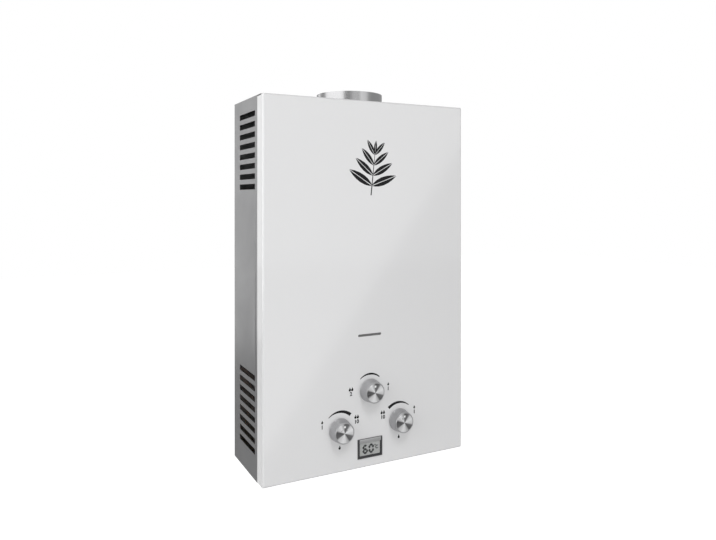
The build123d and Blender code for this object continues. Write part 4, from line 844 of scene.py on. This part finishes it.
def knob_rib(sizes, foot, rim, length):
    """One grip rib along the tapered side of a knob, at the top of its turn."""
    start, run, sunk = 1.25, 13.15, 0.15 * MM
    widest, taper = foot - 0.3 * MM, foot - rim - 1.75 * MM
    half = sizes.rib_width / 2
    bm = bmesh.new()
    stations = []
    for outward, rise in KNOB_RIB:
        radius = widest - taper * (outward - start) / run
        top = radius + rise * sizes.rib_rise
        shoulder = top - 0.25 * (top - radius)
        section = [(-half, radius - sunk), (-half * 0.6, shoulder), (0, top), (half * 0.6, shoulder),
                   (half, radius - sunk)]
        stations.append([bm.verts.new((x, -outward / KNOB_LENGTH * length, z)) for x, z in section])
    for one, two in zip(stations, stations[1:]):
        bridge(bm, one, two)
    bm.faces.new(stations[0])
    bm.faces.new(stations[-1])
    return solid("knob_rib", bm)


def knob_body(name, centre, base, length, foot, rim, ring, sizes):
    """Tapered, ribbed knob with a turned rim and a bore for its spindle."""
    profile = KNOB_BORE + [(foot / MM + r, h) for r, h in KNOB_FOOT]
    profile += [(rim / MM + r, h) for r, h in KNOB_LIP] + [(0, KNOB_FLOOR)]
    bm = bmesh.new()
    lathe(bm, [(r * MM, base - h / KNOB_LENGTH * length) for r, h in profile], (centre.x, 0, centre.z))
    turned = solid("turned_knob", bm, smooth_angle=28)
    ribs = grown("ribs", ring, {
        "Count": sizes.ribs, "Centre": (centre.x, base, centre.z), "Material": FINISHES["knob_metal"],
    }, knob_rib(sizes, foot, rim, length))
    name += "_knob_body"
    return add_object(name, joined(name, [turned, ribs], FINISHES["knob_metal"]))


def knob_face(name, centre, low, high, sizes):
    """Spun face disc, slightly dished, with a pressed pointer dimple."""
    rings, dish_rise, dimple_depth, edge = 44, 0.30 * MM, 0.6 * MM, 0.02 * MM
    radius, front = (high[0] - low[0]) / 2, low[1]
    radii = [radius * 0.97 * i / rings for i in range(rings + 1)]
    profile = [(r, front + dish_rise * (1 - (r / radius) ** 2) + edge) for r in radii]
    profile += [(radius - 0.35 * MM, front + edge), (radius - 0.05 * MM, front + 0.2 * MM),
                (radius, front + 0.5 * MM), (radius, high[1]), (0, high[1])]
    bm = bmesh.new()
    lathe(bm, profile, (centre.x, 0, centre.z), steps=144)
    for vert in bm.verts:
        away = math.hypot(vert.co.x - centre.x, vert.co.z - centre.z - sizes.dimple_at) / sizes.dimple
        if away < 1 and vert.co.y < front + 0.4 * MM:
            vert.co.y += dimple_depth * math.sqrt(1 - away * away)
    name += "_knob_face"
    mesh = solid(name, bm, FINISHES["spun_metal"], 40)
    # The spun attribute holds each point's offset from the middle, and in Y a flag that marks the dimple for
    # its painted highlight.
    spun = mesh.attributes.new("spun", "FLOAT_VECTOR", "POINT")
    for i, vert in enumerate(mesh.vertices):
        x, z = vert.co.x - centre.x, vert.co.z - centre.z
        pressed = math.hypot(x, z - sizes.dimple_at) < sizes.dimple
        spun.data[i].vector = (x, float(pressed), z)
    return add_object(name, mesh)


class HEATER_OT_knobs(bpy.types.Operator):
    """Makes the three ribbed knobs and their spun faces"""

    bl_idname = "heater.knobs"
    bl_label = "Knobs"

    def execute(self, context):
        sizes = context.scene.heater_knobs
        ring = ring_tree()
        for name in ("gas", "water", "season"):
            low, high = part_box(name + "_knob")
            face_low, face_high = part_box(name + "_knob_cap")
            foot, rim = (high[0] - low[0]) / 2, (face_high[0] - face_low[0]) / 2
            body = knob_body(name, middle(name + "_knob"), high[1], high[1] - low[1], foot, rim, ring, sizes)
            settle(body, name + "_knob", "knob_metal", name + "_knob")
            face = knob_face(name, middle(name + "_knob_cap"), face_low, face_high, sizes)
            settle(face, name + "_knob", "spun_metal", name + "_knob_cap")
        return {"FINISHED"}


# Outlines of unit height: the two signs about their middle, and half a leaf from its foot up to its tip and
# back along the midrib.
FLAME = [(0.04, 0.50), (0.10, 0.32), (0.20, 0.16), (0.29, -0.04), (0.30, -0.22), (0.20, -0.41), (0.0, -0.5),
         (-0.20, -0.42), (-0.30, -0.24), (-0.28, -0.05), (-0.20, 0.10), (-0.13, -0.02), (-0.07, 0.18),
         (-0.04, 0.34)]
DROP = [(0.0, 0.50), (0.10, 0.26), (0.24, 0.0), (0.30, -0.20), (0.24, -0.38), (0.10, -0.48), (-0.10, -0.48),
        (-0.24, -0.38), (-0.30, -0.20), (-0.24, 0.0), (-0.10, 0.26)]
LEAF = [(0.012, 0.0), (0.070, 0.10), (0.120, 0.25), (0.142, 0.43), (0.128, 0.63), (0.082, 0.82),
        (0.030, 0.95), (0.010, 1.0), (0.010, 0.5)]

# Print round each knob: share of the scale's radius, widths in mm, sign, figures at both ends, and in mm from
# the knob's middle how far aside both are, how far up the signs are and how far up the figures are.
SCALES = {
    "gas": (1.0, (0.8, 3.3, 4.7), FLAME, ("1", "10"), (27.0, 14.7, 7.4)),
    "water": (1.0, (4.5, 3.3, 0.9), DROP, ("10", "1"), (27.0, 14.7, 7.4)),
    "season": (23.5 / 25.6, (1.0, 2.9, 1.6), FLAME, ("2", "1"), (30.5, 5.0, -2.0)),
}


def flat_shape(bm, outline, x, z, size):
    """Flat outline of (x, z) points, scaled and set at a place on the front."""
    bm.faces.new([bm.verts.new((x + a * size, 0, z + b * size)) for a, b in outline])


def flat_figure(bm, text, x, z, height, weight):
    """Plain scale figure as flat faces."""
    figure_share = 0.73
    curve = bpy.data.curves.new("figure", "FONT")
    curve.body = text
    curve.size = height / figure_share
    curve.offset = weight
    curve.align_x = "CENTER"
    curve.align_y = "CENTER"
    obj = add_object("figure", curve)
    mesh = bpy.data.meshes.new_from_object(obj.evaluated_get(bpy.context.evaluated_depsgraph_get()))
    bpy.data.objects.remove(obj)
    for vert in mesh.vertices:
        vert.co = (x + vert.co.x, 0, z + vert.co.y)
    bm.from_mesh(mesh)


def thicken(bm, axis, level):
    """Makes flat faces solid, from where they lie to a level of one axis."""
    raised = bmesh.ops.extrude_face_region(bm, geom=bm.faces[:], use_keep_orig=True)["geom"]
    for item in raised:
        if isinstance(item, bmesh.types.BMVert):
            item.co[axis] = level


def inked(name, bm, plane, lift, material):
    """Gives flat faces the thickness of ink, standing on a plane that faces the front."""
    for vert in bm.verts:
        vert.co.y = plane
    thicken(bm, 1, plane - lift)
    return add_object(name, solid(name, bm, material, 30))


class HEATER_OT_scales(bpy.types.Operator):
    """Prints the scales, signs and figures round the knobs"""

    bl_idname = "heater.scales"
    bl_label = "Printed scales"

    def execute(self, context):
        sizes = context.scene.heater_print
        pair_shift, single_size, foot_sign_drop = 0.32, 0.85, 25.0 * MM
        tree = scale_tree()
        bm = bmesh.new()
        for name, (share, widths, sign, figures, (aside, sign_up, figure_up)) in SCALES.items():
            x, _, z = middle(name + "_knob")
            left, mid, right = (width * MM for width in widths)
            bm.from_mesh(grown("scale", tree, {
                "Radius": sizes.scale_radius * share, "Sweep": sizes.scale_sweep, "Left": left, "Middle": mid,
                "Right": right, "Centre": (x, 0, z), "Material": FINISHES["ink"]}))
            for side, figure in zip((-1, 1), figures):
                at_x, at_z = x + side * aside * MM, z + sign_up * MM
                if figure == "1":
                    flat_shape(bm, sign, at_x, at_z, sizes.sign * single_size)
                else:
                    flat_shape(bm, sign, at_x - pair_shift * sizes.sign, at_z, sizes.sign)
                    flat_shape(bm, sign, at_x + pair_shift * sizes.sign, at_z, sizes.sign)
                flat_figure(bm, figure, at_x, z + figure_up * MM, sizes.figure, sizes.figure_weight)
            if name != "season":
                flat_shape(bm, sign, x, z - foot_sign_drop, sizes.sign)
        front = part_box("front_panel")[0][1]
        settle(inked("printed_scales", bm, front, sizes.lift, FINISHES["ink"]), "casing", "black_plastic")
        return {"FINISHED"}


def leaf_halves():
    """Outlines of both halves of a leaf of unit length, parted at its midrib."""
    return [[(side * a, b) for a, b in LEAF] for side in (-1, 1)]


def leaf_shape():
    """One flat leaf of unit length."""
    bm = bmesh.new()
    for half in leaf_halves():
        flat_shape(bm, half, 0, 0, 1)
    return to_mesh("leaf", bm)


class HEATER_OT_sprig(bpy.types.Operator):
    """Prints a plain broad-leaved twig high on the front cover"""

    bl_idname = "heater.sprig"
    bl_label = "Printed sprig"

    def execute(self, context):
        sizes = context.scene.heater_print
        aside, down = 2 * MM, 137 * MM
        lean, spread = math.radians(6), math.radians(64)
        length, size = sizes.sprig_height * 0.80, sizes.sprig_height * 0.54
        tip_at, tip_size = 0.98, 0.4
        low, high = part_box("front_panel")
        foot = Vector(((low[0] + high[0]) / 2 + aside, 0, high[2] - down))
        bm = bmesh.new()
        bm.from_mesh(grown("stem", stem_tree(), {
            "Leaves": 2 * sizes.leaf_pairs, "Stem": length, "Leaf": size, "Spread": spread, "Lean": lean,
            "Foot": foot, "Material": FINISHES["ink"]}, leaf_shape()))
        along = Vector((math.sin(lean), 0, math.cos(lean)))
        across = Vector((math.cos(lean), 0, -math.sin(lean)))
        ends = [foot + across * 0.9 * MM, foot + along * length + across * 0.3 * MM,
                foot + along * length - across * 0.3 * MM, foot - across * 0.9 * MM]
        bm.faces.new([bm.verts.new(point) for point in ends])
        for half in leaf_halves():
            points = [foot + along * (length * tip_at + b * size * tip_size) + across * a * size * tip_size
                      for a, b in half]
            bm.faces.new([bm.verts.new(point) for point in points])
        settle(inked("printed_sprig", bm, low[1], sizes.lift, FINISHES["ink"]), "casing", "black_plastic")
        return {"FINISHED"}


SEGMENTS = {"0": "abcdef", "6": "afgedc"}


def segment_figure(bm, figure, x, z, width, height, stroke):
    """Seven-segment figure as flat bars."""
    h, v, s, gap = width / 2, height / 2, stroke / 2, 0.04 * stroke
    places = {
        "a": ((-h, v), (h, v)), "g": ((-h, 0), (h, 0)), "d": ((-h, -v), (h, -v)),
        "f": ((-h, 0), (-h, v)), "b": ((h, 0), (h, v)), "e": ((-h, -v), (-h, 0)), "c": ((h, -v), (h, 0)),
    }
    for letter in SEGMENTS[figure]:
        (x0, z0), (x1, z1) = places[letter]
        if z0 == z1:
            x0, x1 = x0 + gap, x1 - gap
            bar = [(x0, z0), (x0 + s, z0 + s), (x1 - s, z0 + s),
                   (x1, z0), (x1 - s, z0 - s), (x0 + s, z0 - s)]
        else:
            z0, z1 = z0 + gap, z1 - gap
            bar = [(x0, z0), (x0 - s, z0 + s), (x0 - s, z1 - s),
                   (x0, z1), (x0 + s, z1 - s), (x0 + s, z0 + s)]
        flat_shape(bm, bar, x, z, 1)


def ring_shape(bm, x, z, outer, inner, start, sweep, steps):
    """Flat ring or open ring, in degrees clockwise from the top."""
    for i in range(steps):
        a0, a1 = (math.radians(start + sweep * k / steps) for k in (i, i + 1))
        corners = ((outer, a0), (outer, a1), (inner, a1), (inner, a0))
        bm.faces.new([bm.verts.new((x + r * math.sin(a), 0, z + r * math.cos(a))) for r, a in corners])


class HEATER_OT_display(bpy.types.Operator):
    """Makes the display's panel and figures behind its lens, and on it a lighter brow as a painted highlight
    on the bezel's top rim
    """

    bl_idname = "heater.display"
    bl_label = "Display"

    def execute(self, context):
        lift = context.scene.heater_print.lift
        corner, clear, overlap = 0.6 * MM, 0.06 * MM, 0.02 * MM
        low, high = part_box("display_lens")
        x, z = (low[0] + high[0]) / 2, (low[2] + high[2]) / 2
        w, h = (high[0] - low[0]) / 2, (high[2] - low[2]) / 2
        face = high[1] + clear
        outline = [(x - w + corner, z - h), (x + w - corner, z - h), (x + w, z - h + corner),
                   (x + w, z + h - corner), (x + w - corner, z + h), (x - w + corner, z + h),
                   (x - w, z + h - corner), (x - w, z - h + corner)]
        bm = bmesh.new()
        prism(bm, outline, face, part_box("display_module")[0][1])
        panel = add_object("display_panel", solid("display_panel", bm, FINISHES["panel_grey"]))
        settle(panel, "casing", "lens")

        width, height, stroke = 5.8 * MM, 10.4 * MM, 3.3 * MM
        bm = bmesh.new()
        for figure, aside in (("6", -7.6), ("0", 2.2)):
            segment_figure(bm, figure, x + aside * MM, z - 1.6 * MM, width, height, stroke)
        ring_shape(bm, x + 8.6 * MM, z + 2.4 * MM, 1.2 * MM, 0.4 * MM, 0, 360, 16)
        ring_shape(bm, x + 11.8 * MM, z - 0.8 * MM, 2.8 * MM, 1.5 * MM, 135, 270, 20)
        settle(inked("display_figures", bm, face, lift, FINISHES["figure_ink"]), "casing", "black_plastic")

        # The brow's lighter grey on the dark bezel is a painted highlight where the top rim catches the light
        # from above.
        bezel_low, bezel_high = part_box("display_bezel")
        back, front, top = bezel_low[1] + overlap, bezel_low[1] - 0.12 * MM, bezel_high[2] - 0.3 * MM
        slope = [(back, top), (front, top - 0.2 * MM), (front, z + h - 2.6 * MM),
                 (low[1], z + h - 3.2 * MM), (low[1], z + h), (back, z + h)]
        bm = bmesh.new()
        prism(bm, slope, x - w, x + w, along=0)
        painted_highlight_brow = add_object("display_brow_painted_highlight", solid("display_brow_painted_highlight", bm, FINISHES["painted_highlight_brow"]))
        settle(painted_highlight_brow, "casing", "bezel_metal")
        return {"FINISHED"}


# Half section of a pan-head screw in mm, as (radius, height), with the head above 0.
SCREW = [(0, -5.0), (1.5, -5.0), (1.9, -4.5), (1.9, 0), (3.35, 0), (3.5, 0.15), (3.5, 0.75), (3.2, 1.35),
         (2.35, 2.0)]


def screw_shape(sizes):
    """Pan-head screw with a cross recess, its head above the origin."""
    recess_depth, recess_taper = 1.1 * MM, 0.8
    flat, top = (size * MM for size in SCREW[-1])
    bm = bmesh.new()
    lathe(bm, [(r * MM, h * MM) for r, h in SCREW], (0, 0, 0), axis=2, steps=32)
    a, b = sizes.screw_recess / 2, sizes.screw_recess / 8
    cross = [(b, a), (b, b), (a, b), (a, -b), (b, -b), (b, -a),
             (-b, -a), (-b, -b), (-a, -b), (-a, b), (-b, b), (-b, a)]
    mouth = [bm.verts.new((x, y, top)) for x, y in cross]
    floor = [bm.verts.new((recess_taper * x, recess_taper * y, top - recess_depth)) for x, y in cross]
    edges = [bm.edges.new((mouth[i], mouth[(i + 1) % len(cross)])) for i in range(len(cross))]
    edges += [edge for edge in bm.edges
              if all(abs(v.co.z - top) < 1e-9 and v.co.xy.length > 0.98 * flat for v in edge.verts)]
    bmesh.ops.triangle_fill(bm, use_beauty=True, edges=edges)
    bridge(bm, mouth, floor)
    bm.faces.new(floor)
    return solid("screw", bm)


class HEATER_OT_screws(bpy.types.Operator):
    """Sets the cross-head casing screws in the top and bottom"""

    bl_idname = "heater.screws"
    bl_label = "Casing screws"

    def execute(self, context):
        screw = screw_shape(context.scene.heater_fittings)
        tree = grid_tree()
        top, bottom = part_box("top_panel")[1][2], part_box("bottom_plate")[0][2]
        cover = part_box("front_panel")[0][2]
        upright, under = (0, 0, 0.4), (math.pi, 0, 0.6)
        bm = bmesh.new()
        for columns, rows, across, deep, turn, centre in (
            (2, 2, 311, 50, upright, (0, -60 * MM, top)),
            (2, 2, 311, 50, under, (0, -60 * MM, bottom)),
            (2, 1, 240, 0, under, (0, -113 * MM, cover)),
        ):
            bm.from_mesh(grown("screws", tree, {
                "Columns": columns, "Rows": rows, "Across": across * MM, "Deep": deep * MM, "Turn": turn,
                "Centre": centre, "Material": FINISHES["screw_steel"]}, screw.copy()))
        mesh = solid("cross_head_screws", bm, FINISHES["screw_steel"])
        settle(add_object("cross_head_screws", mesh), "casing", "screw_steel", "casing_screws")
        return {"FINISHED"}


class HEATER_OT_connections(bpy.types.Operator):
    """Cuts the pipe thread on the gas, cold and hot connections"""

    bl_idname = "heater.connections"
    bl_label = "Threaded connections"

    def execute(self, context):
        sizes = context.scene.heater_fittings
        lead_in, run_out, sunk = 1.0 * MM, 2.6 * MM, 1.15
        tree = thread_tree()
        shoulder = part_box("lock_nuts")[0][2]
        for node in ("gas_inlet_connector", "cold_inlet_connector", "hot_outlet_connector"):
            x, y, _ = middle(node)
            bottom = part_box(node)[0][2]
            bm = merged_copy(node)
            outer = max(
                math.hypot(v.co.x - x, v.co.y - y) for v in bm.verts if v.co.z < shoulder - 1 * MM)
            core = (outer - sunk * sizes.thread_depth) / outer
            for vert in bm.verts:
                away = math.hypot(vert.co.x - x, vert.co.y - y)
                if vert.co.z < shoulder - 0.01 * MM and away > 0.95 * outer:
                    vert.co.x, vert.co.y = x + (vert.co.x - x) * core, y + (vert.co.y - y) * core
            turned = solid("turned_stub", bm, smooth_angle=30)
            thread = grown("thread", tree, {
                "Radius": outer, "Pitch": sizes.thread_pitch, "Length": shoulder - bottom - run_out,
                "Depth": sizes.thread_depth, "Centre": (x, y, bottom + lead_in),
                "Material": FINISHES["brass"]})
            mesh = joined(node + "_threaded", [turned, thread], FINISHES["brass"])
            settle(add_object(node + "_threaded", mesh), "casing", "brass", node)
        return {"FINISHED"}


# Half section of the diaphragm's middle and its fold in mm, as (radius, height).
MEMBRANE = [(0, 0), (18.6, 0), (19.3, 0.08), (19.8, 0.3), (20.2, 0.6), (20.5, 0.85), (20.8, 1.05),
            (21.1, 1.17), (21.4, 1.2), (21.4, 2.0), (20.9, 1.97), (20.4, 1.85), (19.95, 1.65), (19.6, 1.4),
            (19.3, 1.15), (18.9, 0.92), (18.5, 0.8), (0, 0.8)]


def circle_edges(bm, x, y, z, radius, steps):
    """Edges of a circle that faces along X."""
    angles = [2 * math.pi * i / steps for i in range(steps)]
    verts = [bm.verts.new((x, y + radius * math.cos(a), z + radius * math.sin(a))) for a in angles]
    return [bm.edges.new((verts[i - 1], verts[i])) for i in range(steps)]


def diaphragm_rim(low, high, y, z):
    """Clamped rim of the diaphragm, with its four screw holes."""
    inner, hole_ring, hole = 21.45 * MM, 28 * MM, 2.0 * MM
    bm = bmesh.new()
    edges = circle_edges(bm, low[0], y, z, (high[1] - low[1]) / 2, 96)
    edges += circle_edges(bm, low[0], y, z, inner, 96)
    for i in range(4):
        angle = math.radians(45 + 90 * i)
        hole_y, hole_z = y + hole_ring * math.cos(angle), z + hole_ring * math.sin(angle)
        edges += circle_edges(bm, low[0], hole_y, hole_z, hole, 20)
    bmesh.ops.triangle_fill(bm, use_beauty=True, edges=edges)
    thicken(bm, 0, high[0])
    return add_object("diaphragm_rim", solid("diaphragm_rim", bm, FINISHES["rubber"], 30))


class HEATER_OT_valve(bpy.types.Operator):
    """Makes the spring and diaphragm of the push rod's valve"""

    bl_idname = "heater.valve"
    bl_label = "Spring and diaphragm"

    def execute(self, context):
        sizes = context.scene.heater_fittings
        low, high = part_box("poppet_spring")
        _, y, z = middle("poppet_spring")
        length, wire = high[0] - low[0], sizes.spring_wire
        bm = bmesh.new()
        bm.from_mesh(grown("coil", spring_tree(), {
            "Radius": (high[1] - low[1]) / 2 - wire, "Wire": wire, "Turns": sizes.spring_turns,
            "Length": length - 2 * wire, "Start": (low[0] + wire, y, z),
            "Material": FINISHES["spring_steel"]}))
        spring = add_object("poppet_coil", solid("poppet_coil", bm, FINISHES["spring_steel"], 60))
        settle(spring, "casing", "spring_steel", "poppet_spring")
        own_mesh(spring)

        low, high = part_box("diaphragm")
        _, y, z = middle("diaphragm")
        settle(diaphragm_rim(low, high, y, z), "casing", "rubber", "diaphragm")
        bm = bmesh.new()
        lathe(bm, [(r * MM, low[0] + h * MM) for r, h in MEMBRANE], (0, y, z), axis=0)
        membrane = add_object("diaphragm_membrane", solid("diaphragm_membrane", bm, FINISHES["rubber"], 40))
        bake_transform(membrane)
        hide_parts("diaphragm")
        return {"FINISHED"}


class HEATER_OT_battery_door(bpy.types.Operator):
    """Adds the grip ribs on the battery door"""

    bl_idname = "heater.battery_door"
    bl_label = "Battery door"

    def execute(self, context):
        count = context.scene.heater_fittings.grip_ribs
        pitch, half, reach, inset = 2.2 * MM, 0.55 * MM, 11 * MM, 12 * MM
        sunk, shoulder, crest = 0.1 * MM, -0.35 * MM, -0.6 * MM
        bar = [(-half, sunk), (-half, shoulder), (-0.6 * half, crest),
               (0.6 * half, crest), (half, shoulder), (half, sunk)]
        bm = bmesh.new()
        prism(bm, bar, -reach, reach)
        low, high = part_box("battery_door")
        mesh = grown("battery_door_grip", grid_tree(), {
            "Columns": count, "Rows": 1, "Across": pitch * (count - 1), "Deep": 0.0, "Turn": (0, 0, 0),
            "Centre": (high[0] - inset, (low[1] + high[1]) / 2, low[2]),
            "Material": FINISHES["black_plastic"]}, solid("bar", bm))
        settle(add_object("battery_door_grip", mesh), "battery_door", "black_plastic")
        return {"FINISHED"}


def lamp(name, place, aim, size, power, roll=0.0):
    """Soft rectangular lamp that faces a point, rolled about its own axis."""
    light = bpy.data.lights.new(name, "AREA")
    light.shape = "RECTANGLE"
    light.size, light.size_y = size
    light.energy = power
    obj = add_object(name, light)
    facing = (Vector(aim) - Vector(place)).to_track_quat("-Z", "Y").to_matrix().to_4x4()
    obj.matrix_world = Matrix.Translation(place) @ facing @ Matrix.Rotation(roll, 4, "Z")
    return obj


def light_link(obj, name, state):
    """Makes a lamp light only the front cover, or all but it."""
    group = bpy.data.collections.new(name)
    group.objects.link(frame["nodes"]["front_panel"])
    group.collection_objects[0].light_linking.link_state = state
    obj.light_linking.receiver_collection = group


def set_lamps(values):
    """Soft lamps before the front, to the left, and behind for what the left side mirrors."""
    lamp("front_lamp", (0.256, -1.5, 0.094), (0.256, 0.0, 0.094), (1.9, 1.4),
         values.front_lamp, math.radians(53.1))
    lamp("top_lamp", (-0.5, -3.0, 3.4), (0.0, -0.13, -0.2), (1.4, 1.4), values.top_lamp)
    low = lamp("low_lamp", (0.1, -1.3, -0.62), (0.0, -0.13, -0.42), (1.2, 0.6), values.low_lamp)
    low.visible_glossy = False
    lamp("side_lamp", (-1.4, -0.3, 0.25), (-0.16, -0.1, -0.15), (2.0, 1.6), values.side_lamp)
    back = lamp("back_lamp", (-0.49, 1.0, -0.08), (-0.16, -0.06, -0.1), (0.4, 0.95), values.back_lamp)
    light_link(back, "all_but_cover", "EXCLUDE")
    strip = lamp("strip_lamp", (-0.55, 1.0, -0.37), (-0.16, -0.13, -0.2), (0.5, 1.38), values.strip_lamp)
    light_link(strip, "cover_edge", "INCLUDE")
    strip_top = lamp("strip_top_lamp", (-0.55, 1.0, -0.05), (-0.16, -0.13, -0.05), (0.5, 0.95),
                     values.strip_top_lamp)
    light_link(strip_top, "cover_edge_top", "INCLUDE")


def seen_directly(tree):
    """Light path outputs, and 1 for a ray that goes straight to the camera or through a clear sheet."""
    path = tree.add("ShaderNodeLightPath").outputs
    return path, tree.math("MAXIMUM", path["Is Camera Ray"], path["Is Transmission Ray"])


def surround(values):
    """World that is white to the camera, and greyer as a light and in reflections."""
    world = bpy.data.worlds.new("surround")
    tree = emptied_tree(world)
    path, seen = seen_directly(tree)
    level = tree.add("ShaderNodeMapRange", {
        "Value": seen, "To Min": values.ambient, "To Max": 1.0}).outputs[0]
    level = tree.add("ShaderNodeMix", {
        "Factor": path["Is Glossy Ray"], "A": level, "B": values.mirrored}).outputs[0]
    sky = tree.add("ShaderNodeBackground", {"Color": (1, 1, 1, 1), "Strength": level}).outputs[0]
    tree.add("ShaderNodeOutputWorld", {"Surface": sky})
    world.cycles.sampling_method = "NONE"
    return world


def pale_floor(level):
    """Wide floor that glows for the camera, so that it runs into the white surround."""
    size, grey, glow_seen, glow_mirrored = 8.0, 0.62, 0.87, 0.05
    bm = bmesh.new()
    bmesh.ops.create_grid(bm, x_segments=1, y_segments=1, size=size)
    for vert in bm.verts:
        vert.co.z = level
    material = bpy.data.materials.new("pale_floor")
    tree = emptied_tree(material)
    path, seen = seen_directly(tree)
    seen = tree.math("MULTIPLY_ADD", path["Is Glossy Ray"], glow_mirrored, seen)
    paint = tree.add("ShaderNodeBsdfDiffuse", {"Color": (grey, grey, grey, 1)}).outputs[0]
    glow = tree.add("ShaderNodeEmission", {"Strength": tree.math("MULTIPLY", seen, glow_seen)}).outputs[0]
    both = tree.add("ShaderNodeAddShader", {0: paint, 1: glow}).outputs[0]
    tree.add("ShaderNodeOutputMaterial", {"Surface": both})
    return add_object("floor", to_mesh("floor", bm, material))


class HEATER_OT_stage(bpy.types.Operator):
    """Sets the camera, pale floor, white surround and soft lamps"""

    bl_idname = "heater.stage"
    bl_label = "Stage"

    def execute(self, context):
        scene, values = context.scene, context.scene.heater_stage
        place, turn, shift = (-0.4460, -0.9628, -0.0805), math.radians(-27.13), -0.1010
        level = math.radians(90)
        camera = bpy.data.cameras.new("camera")
        camera.lens, camera.sensor_width, camera.shift_y = values.lens, 36.0, shift
        view = add_object("camera", camera)
        view.location = place
        view.rotation_euler = (level, 0, turn)
        scene.camera = view
        scene.view_settings.view_transform = "Standard"
        scene.world = surround(values)
        pale_floor(CAD_BOX[0][2] - values.floor_drop)
        set_lamps(values)
        return {"FINISHED"}


OPERATORS = (
    HEATER_OT_casing, HEATER_OT_louvres, HEATER_OT_knobs, HEATER_OT_scales, HEATER_OT_sprig,
    HEATER_OT_display, HEATER_OT_screws, HEATER_OT_connections, HEATER_OT_valve, HEATER_OT_battery_door,
    HEATER_OT_stage,
)


class HEATER_PT_panel(bpy.types.Panel):
    """Lists the heater's pieces and sizes"""

    bl_label = "Water heater"
    bl_idname = "HEATER_PT_panel"
    bl_space_type = "VIEW_3D"
    bl_region_type = "UI"
    bl_category = "Water Heater"

    def draw(self, context):
        for operator in OPERATORS:
            self.layout.operator(operator.bl_idname)
        for name, group in GROUPS.items():
            box = self.layout.box()
            values = getattr(context.scene, name)
            for field in group.__annotations__:
                box.prop(values, field)


CLASSES = tuple(GROUPS.values()) + OPERATORS + (HEATER_PT_panel,)


def register():
    for item in CLASSES:
        bpy.utils.register_class(item)
    for name, group in GROUPS.items():
        setattr(bpy.types.Scene, name, bpy.props.PointerProperty(type=group))


def unregister():
    for name in GROUPS:
        delattr(bpy.types.Scene, name)
    for item in reversed(CLASSES):
        bpy.utils.unregister_class(item)


def main():
    register()
    bpy.ops.heater.casing()
    bpy.ops.heater.louvres()
    bpy.ops.heater.knobs()
    bpy.ops.heater.scales()
    bpy.ops.heater.sprig()
    bpy.ops.heater.display()
    bpy.ops.heater.screws()
    bpy.ops.heater.connections()
    bpy.ops.heater.valve()
    bpy.ops.heater.battery_door()
    bpy.ops.heater.stage()


if __name__ == "__main__":
    main()
